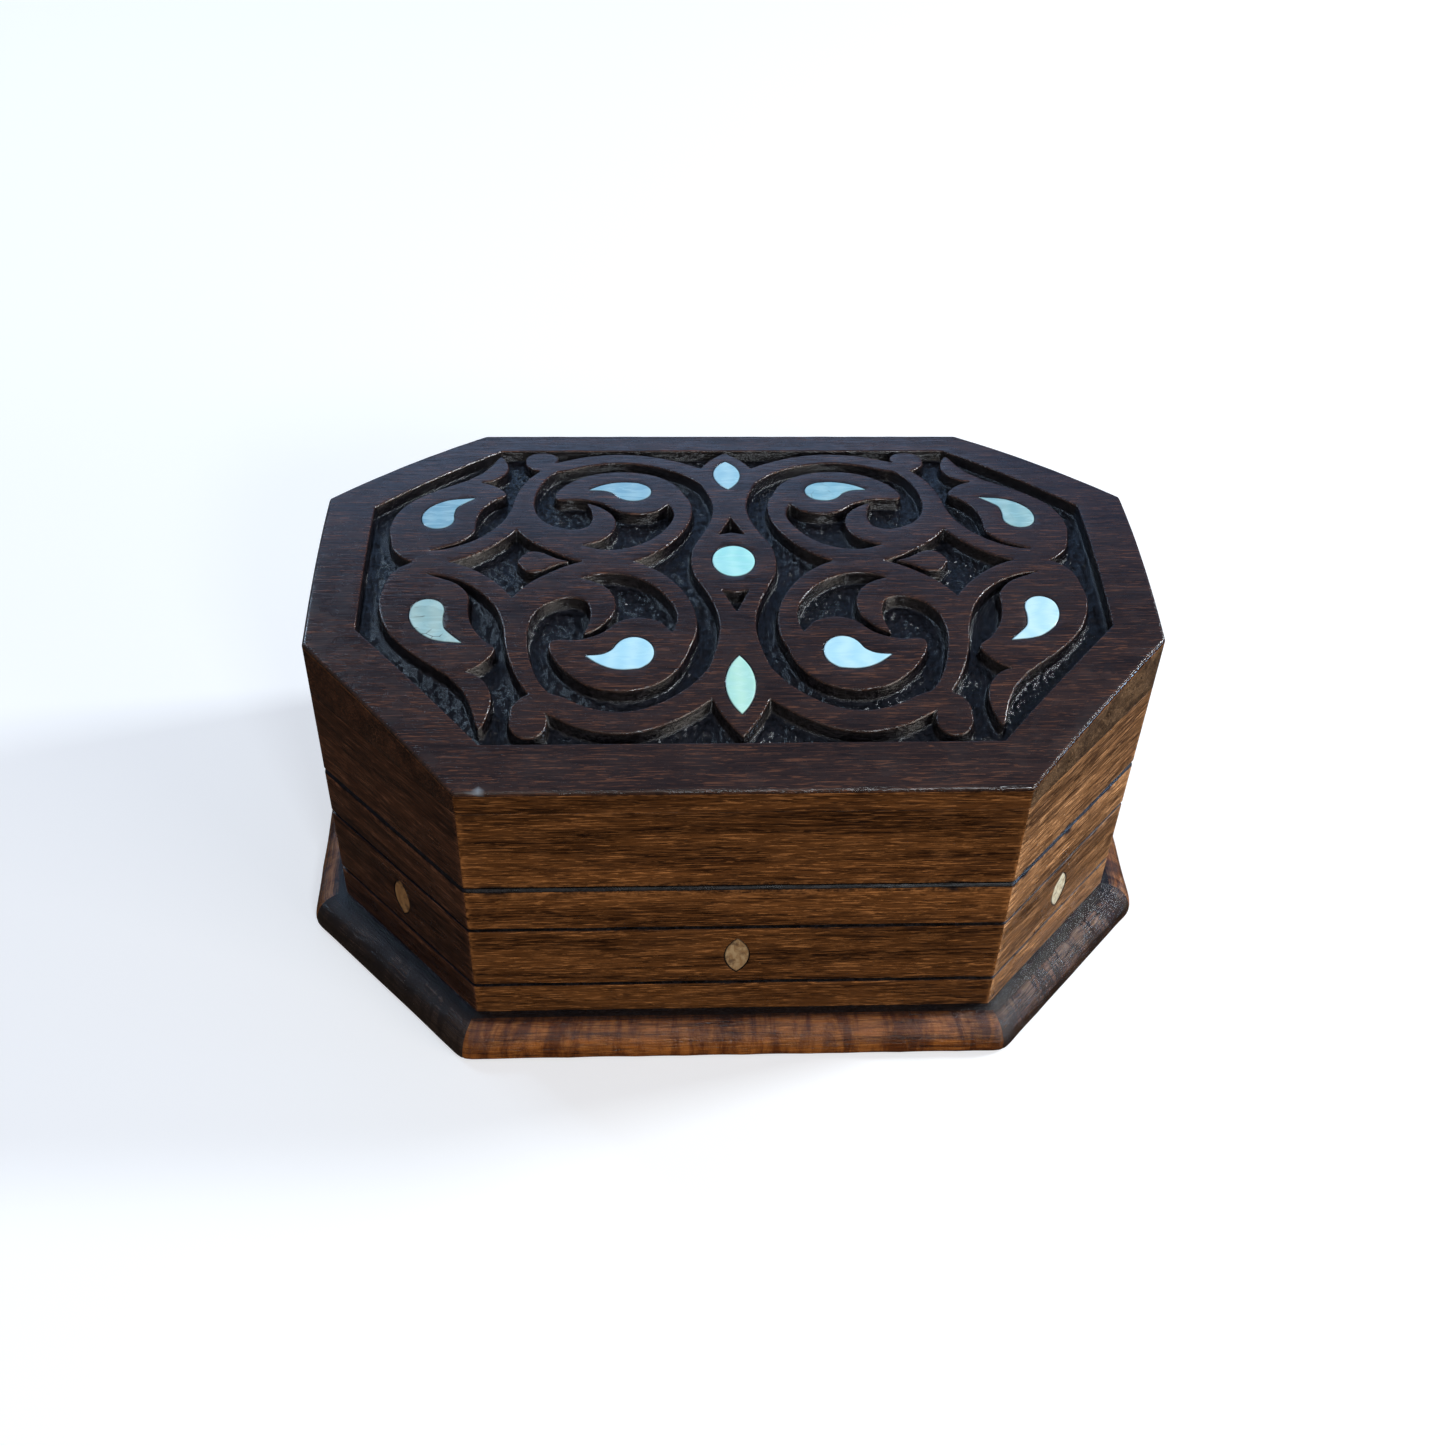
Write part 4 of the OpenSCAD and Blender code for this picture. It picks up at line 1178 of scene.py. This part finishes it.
def makePlinth(name, face):
    # The profile carried between the two mitre planes of a face; out is the distance from the wall.
    s = plinthSettings
    low, high = nodeBox("plinth_front")
    profile = plinthProfile(-low[1] - halfWidth, high[2])
    outward, height = profile.T
    nextFace = (face + 1) % 8
    startLine = boxCorners[face] + outward[:, None] * cornerOut[face]
    endLine = boxCorners[nextFace] + outward[:, None] * cornerOut[nextFace]
    length = np.linalg.norm(endLine - startLine, axis=1)
    longest = length.max()
    near = s["arris"] * np.array(s["arrisShares"]) / longest
    middle = np.linspace(near[-1], 1 - near[-1], round(longest / s["step"]))[1:-1]
    share, out = np.meshgrid(np.concatenate([near, middle, 1 - near[::-1]]), outward, indexing="ij")
    flat = startLine * (1 - share[..., None]) + endLine * share[..., None]
    gap = np.minimum(share, 1 - share) * length
    rounding = s["rounding"] * (1 - np.sqrt(1 - (1 - np.clip(gap / s["arris"], 0, 1)) ** 2))
    wave = s["wave"] * ripples(share * length, height * 1.5, 21.0, 80 + face) * ramp(gap, 1.0, 6.0)
    inward = (rounding + np.abs(wave)) * ramp(out, 1.0, 3.0)
    flat = flat - inward[..., None] * faceOut[face]
    z = np.broadcast_to(height, share.shape)
    places = np.concatenate([flat, z[..., None]], axis=2).reshape(-1, 3)
    index = np.arange(share.size).reshape(share.shape)
    beside = np.roll(index, -1, axis=1)
    quads = np.stack([index[:-1], beside[:-1], beside[1:], index[1:]], axis=-1).reshape(-1, 4)
    faces = quads.tolist() + [index[0][::-1].tolist(), index[-1].tolist()]

    lengths = np.linalg.norm(np.diff(profile, axis=0), axis=1)
    around = np.broadcast_to(np.concatenate([[0], np.cumsum(lengths)]), share.shape)
    grain = np.column_stack([(share * longest).ravel(), around.ravel(), out.ravel()])
    # Painted shade on the ledge beside the wall, darkest at the wall's foot where varnish pools; carried in
    # the sunk mark.
    stain = np.maximum(1 - ramp(out, 0.9, 2.1), 0.45 * (1 - ramp(out, 2.0, 3.6))) * (z > 3)
    edge = np.exp(-(gap / 0.7) ** 2) * ramp(out, 1.5, 3.0)
    marks = {
        "grainPlace": grain + (face * 71, face * 29 + 300, 0),
        "sunk": stain.ravel() * 0.85,
        "edge": edge.ravel(),
        "tone": np.tile(paintedPlinthLight.get(name, (1.0, 1.0, 1.0)), (len(places), 1)),
    }
    node = "plinth_" + name
    return addPiece(camel(node), "base", [node], places, faces, marks, plinthWood, 50.0)


# Linings.

feltSettings = {
    "clearance": 0.12,    # gap between the felt and the walls
    "thickness": 0.68,    # of the strip round the walls
    "step": 2.6,          # samples over a sheet
    "softEdge": 0.3,
    "edgeRows": [-0.08, -0.2, -0.4],
    "nap": 0.05,          # slow unevenness of the open face
    "stripStep": 3.0,     # samples round the walls
}


def makeFeltSheet(pieceName, node, body, up):
    # A flat cut of felt: its open face dips softly at the edge and undulates a little; up is 1 or -1.
    s = feltSettings
    low, high = nodeBox(node)
    corners = boxCorners - cornerOut * (boxSettings["wallThickness"] + s["clearance"])
    rim = resampled(corners, s["step"], boxSettings["cornerTurn"])
    rows = rowsBeside([rim], s["edgeRows"], [rim])
    grid = hexGrid(rim.min(axis=0), rim.max(axis=0), s["step"])
    points, triangles = triangulated(rim, np.vstack([rows, grid[signedDistance(grid, [rim]) > 1.2]]))
    gap = np.maximum(signedDistance(points, [rim]), 0)
    drop = rimDrop(gap, s["softEdge"]) + s["nap"] * (0.5 + 0.5 * ripples(*points.T, 23.0, 31))
    openSide, back = (high[2], low[2]) if up > 0 else (low[2], high[2])
    places = np.column_stack([points, openSide - up * drop])
    foot = np.column_stack([rim, np.full(len(rim), back)])
    places, faces = closedBlock(places, triangles, len(rim), [foot])
    faces = [face[::up] for face in faces]
    piece = addPiece(pieceName, body, [node], places, faces, {}, liningFelt, 60.0)
    return piece


def makeWallFelt():
    # A strip of felt round the inside of the walls: a thin upright section with a soft top,
    # carried round the box.
    low, high = nodeBox("wall_lining")
    bottom, top = low[2], high[2]
    outer = boxSettings["wallThickness"] + feltSettings["clearance"]
    inner = outer + feltSettings["thickness"]
    section = np.array([
        [outer, bottom], [outer, top - 0.1], [outer + 0.1, top], [outer + 0.34, top],
        [inner - 0.08, top - 0.12], [inner, top - 0.35], [inner, (top + bottom) / 2], [inner, bottom],
    ])
    path = resampled(boxCorners, feltSettings["stripStep"], boxSettings["cornerTurn"])
    normal = sideways(path)
    corner = turnings(path) > boxSettings["cornerTurn"]
    normal[corner] = normal[corner] / np.cos(halfTurns[:, None])
    flat = path[:, None] - normal[:, None] * section[None, :, :1]
    z = np.broadcast_to(section[:, 1], flat.shape[:2])
    places = np.concatenate([flat, z[..., None]], axis=2).reshape(-1, 3)
    index = np.arange(len(places)).reshape(flat.shape[:2])
    ahead, beside = np.roll(index, -1, axis=0), np.roll(index, -1, axis=1)
    faces = np.stack([index, ahead, np.roll(ahead, -1, axis=1), beside], axis=-1).reshape(-1, 4).tolist()
    piece = addPiece("wallLining", "base", ["wall_lining"], places, faces, {}, liningFelt, 60.0)
    return piece


# Everything put together.

makeLidBoard()
for name in shellNames:
    makeShell(name)
print("lid carved and inlaid")
for face, name in enumerate(faceNames):
    makeBone(name, face)
    makePlinth(name, face)
    if name != "back":
        makeWall(name, face, "base")
        makeWall(name, face, "lid")
print("walls, bones and plinth made")
makeFeltSheet("floorLining", "floor_lining", "base", 1)
makeFeltSheet("lidLining", "lid_lining", "lid", -1)
makeWallFelt()


def paintNode(node, material):
    # Gives a CAD piece that stays as it is its material.
    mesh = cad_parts[node].data
    mesh.materials.clear()
    mesh.materials.append(material)


paintNode("bottom_board", bottomWood)
for part in ("base", "lid"):
    paintNode(part + "_wall_back", backWood)
    paintNode(part + "_screws", agedBrass)
    for side in ("left", "right"):
        paintNode(part + "_leaf_" + side, agedBrass)
for side in ("left", "right"):
    paintNode("hinge_pin_" + side, agedBrass)
print("linings made, hinges given brass")


# Camera, floor and light.

cameraSettings = {
    "place": (-0.01743, -0.25022, 0.27603),   # metres
    "yaw": 0.066,         # radians to the right of the view along y, down, and round the view itself
    "pitch": 0.772,
    "roll": 0.038,
    "lens": 44.24,
    "sensor": 36,
    "clipStart": 0.01,
}


def makeCamera():
    # Ahead comes from yaw and pitch; right and up are turned round it by the roll.
    s = cameraSettings
    flat = math.cos(s["pitch"])
    ahead = Vector((math.sin(s["yaw"]) * flat, math.cos(s["yaw"]) * flat, -math.sin(s["pitch"])))
    level = Vector((math.cos(s["yaw"]), -math.sin(s["yaw"]), 0))
    above = level.cross(ahead)
    right = level * math.cos(s["roll"]) + above * math.sin(s["roll"])
    up = above * math.cos(s["roll"]) - level * math.sin(s["roll"])
    data = bpy.data.cameras.new("mainCamera")
    data.lens = s["lens"]
    data.sensor_width = s["sensor"]
    data.clip_start = s["clipStart"]
    camera = bpy.data.objects.new("mainCamera", data)
    turned = Matrix((right, up, -ahead)).transposed().to_4x4()
    turned.translation = s["place"]
    camera.matrix_world = turned
    bpy.context.scene.collection.objects.link(camera)
    bpy.context.scene.camera = camera


floorSettings = {"reach": 4.0, "height": -0.0002, "color": (0.6, 0.6, 0.6, 1), "glow": 0.5}


def makeFloor():
    # A pale square under the box that glows a little, and neither mirrors nor tints it.
    s = floorSettings
    reach, height = s["reach"], s["height"]
    corners = [(x * reach, y * reach, height) for x, y in ((-1, -1), (1, -1), (1, 1), (-1, 1))]
    mesh = bpy.data.meshes.new("floor")
    mesh.from_pydata(corners, [], [(0, 1, 2, 3)])
    material, tree, shader = newMaterial("paleFloor")
    shader.inputs["Base Color"].default_value = s["color"]
    shader.inputs["Roughness"].default_value = 0.9
    shader.inputs["Specular IOR Level"].default_value = 0.0
    shader.inputs["Emission Color"].default_value = (1.0, 1.0, 1.0, 1)
    shader.inputs["Emission Strength"].default_value = s["glow"]
    mesh.materials.append(material)
    floor = bpy.data.objects.new("floor", mesh)
    bpy.context.scene.collection.objects.link(floor)
    floor.visible_glossy = False
    floor.visible_diffuse = False


lightSettings = {
    # name: place in metres, size, power in watts, colour
    "keyRight": ((0.95, 0.22, 0.62), 0.16, 10.0, (0.86, 0.94, 1.0)),
    "skyBack": ((-0.15, 1.2, 0.42), 0.9, 1.4, (0.42, 0.66, 1.0)),
    "fillRight": ((0.75, -0.55, 0.3), 0.4, 4.0, (1.0, 0.94, 0.86)),
    "lowRight": ((1.0, -0.13, 0.06), 0.1, 2.0, (0.4, 0.66, 1.0)),
    "glintLeft": ((-0.5, 0.45, 0.6), 0.15, 1.6, (0.6, 0.8, 1.0)),
    "windowFront": ((0.26, -0.8, 0.58), 0.16, 2.4, (0.86, 0.94, 1.0)),
    "fillFront": ((-0.1, -0.9, 0.75), 0.7, 1.2, (1.0, 0.90, 0.78)),
}
lightTarget = (0, 0, 0.03)
skyColors = {
    "above": (0.18, 0.23, 0.34, 1),
    "back": (0.13, 0.21, 0.40, 1),
    "front": (0.24, 0.21, 0.19, 1),
    "below": (0.05, 0.04, 0.035, 1),
    "seen": (0.72, 0.74, 0.77, 1),     # what the camera sees behind everything
}


def makeSky():
    # Pale sky: bluer toward the back, dimmer toward the front, and nearly dark below the horizon.
    world = bpy.data.worlds.new("paleSky")
    world.use_nodes = True
    tree = world.node_tree
    parts = tree.nodes.new("ShaderNodeSeparateXYZ")
    plug(tree, parts.inputs[0], tree.nodes.new("ShaderNodeTexCoord").outputs["Generated"])
    toBack, upward = parts.outputs["Y"], parts.outputs["Z"]
    horizon = mixed(tree, remapped(tree, toBack, -0.2, 0.8), skyColors["front"], skyColors["back"])
    sky = mixed(tree, remapped(tree, upward, 0.25, 0.9), horizon, skyColors["above"])
    color = mixed(tree, remapped(tree, upward, -0.12, 0.02), skyColors["below"], sky)
    seen = tree.nodes.new("ShaderNodeLightPath").outputs["Is Camera Ray"]
    color = mixed(tree, seen, color, skyColors["seen"])
    plug(tree, tree.nodes["Background"].inputs["Color"], color)
    bpy.context.scene.world = world


def makeLights():
    # Square lamps, all turned toward the box.
    for name, (place, size, power, color) in lightSettings.items():
        data = bpy.data.lights.new(name, "AREA")
        data.size = size
        data.energy = power
        data.color = color
        lamp = bpy.data.objects.new(name, data)
        lamp.location = place
        lamp.rotation_mode = "QUATERNION"
        lamp.rotation_quaternion = (Vector(lightTarget) - Vector(place)).to_track_quat("-Z", "Y")
        bpy.context.scene.collection.objects.link(lamp)


makeCamera()
makeFloor()
makeLights()
makeSky()
bpy.context.scene.view_settings.view_transform = "Standard"
print("camera and lights set")
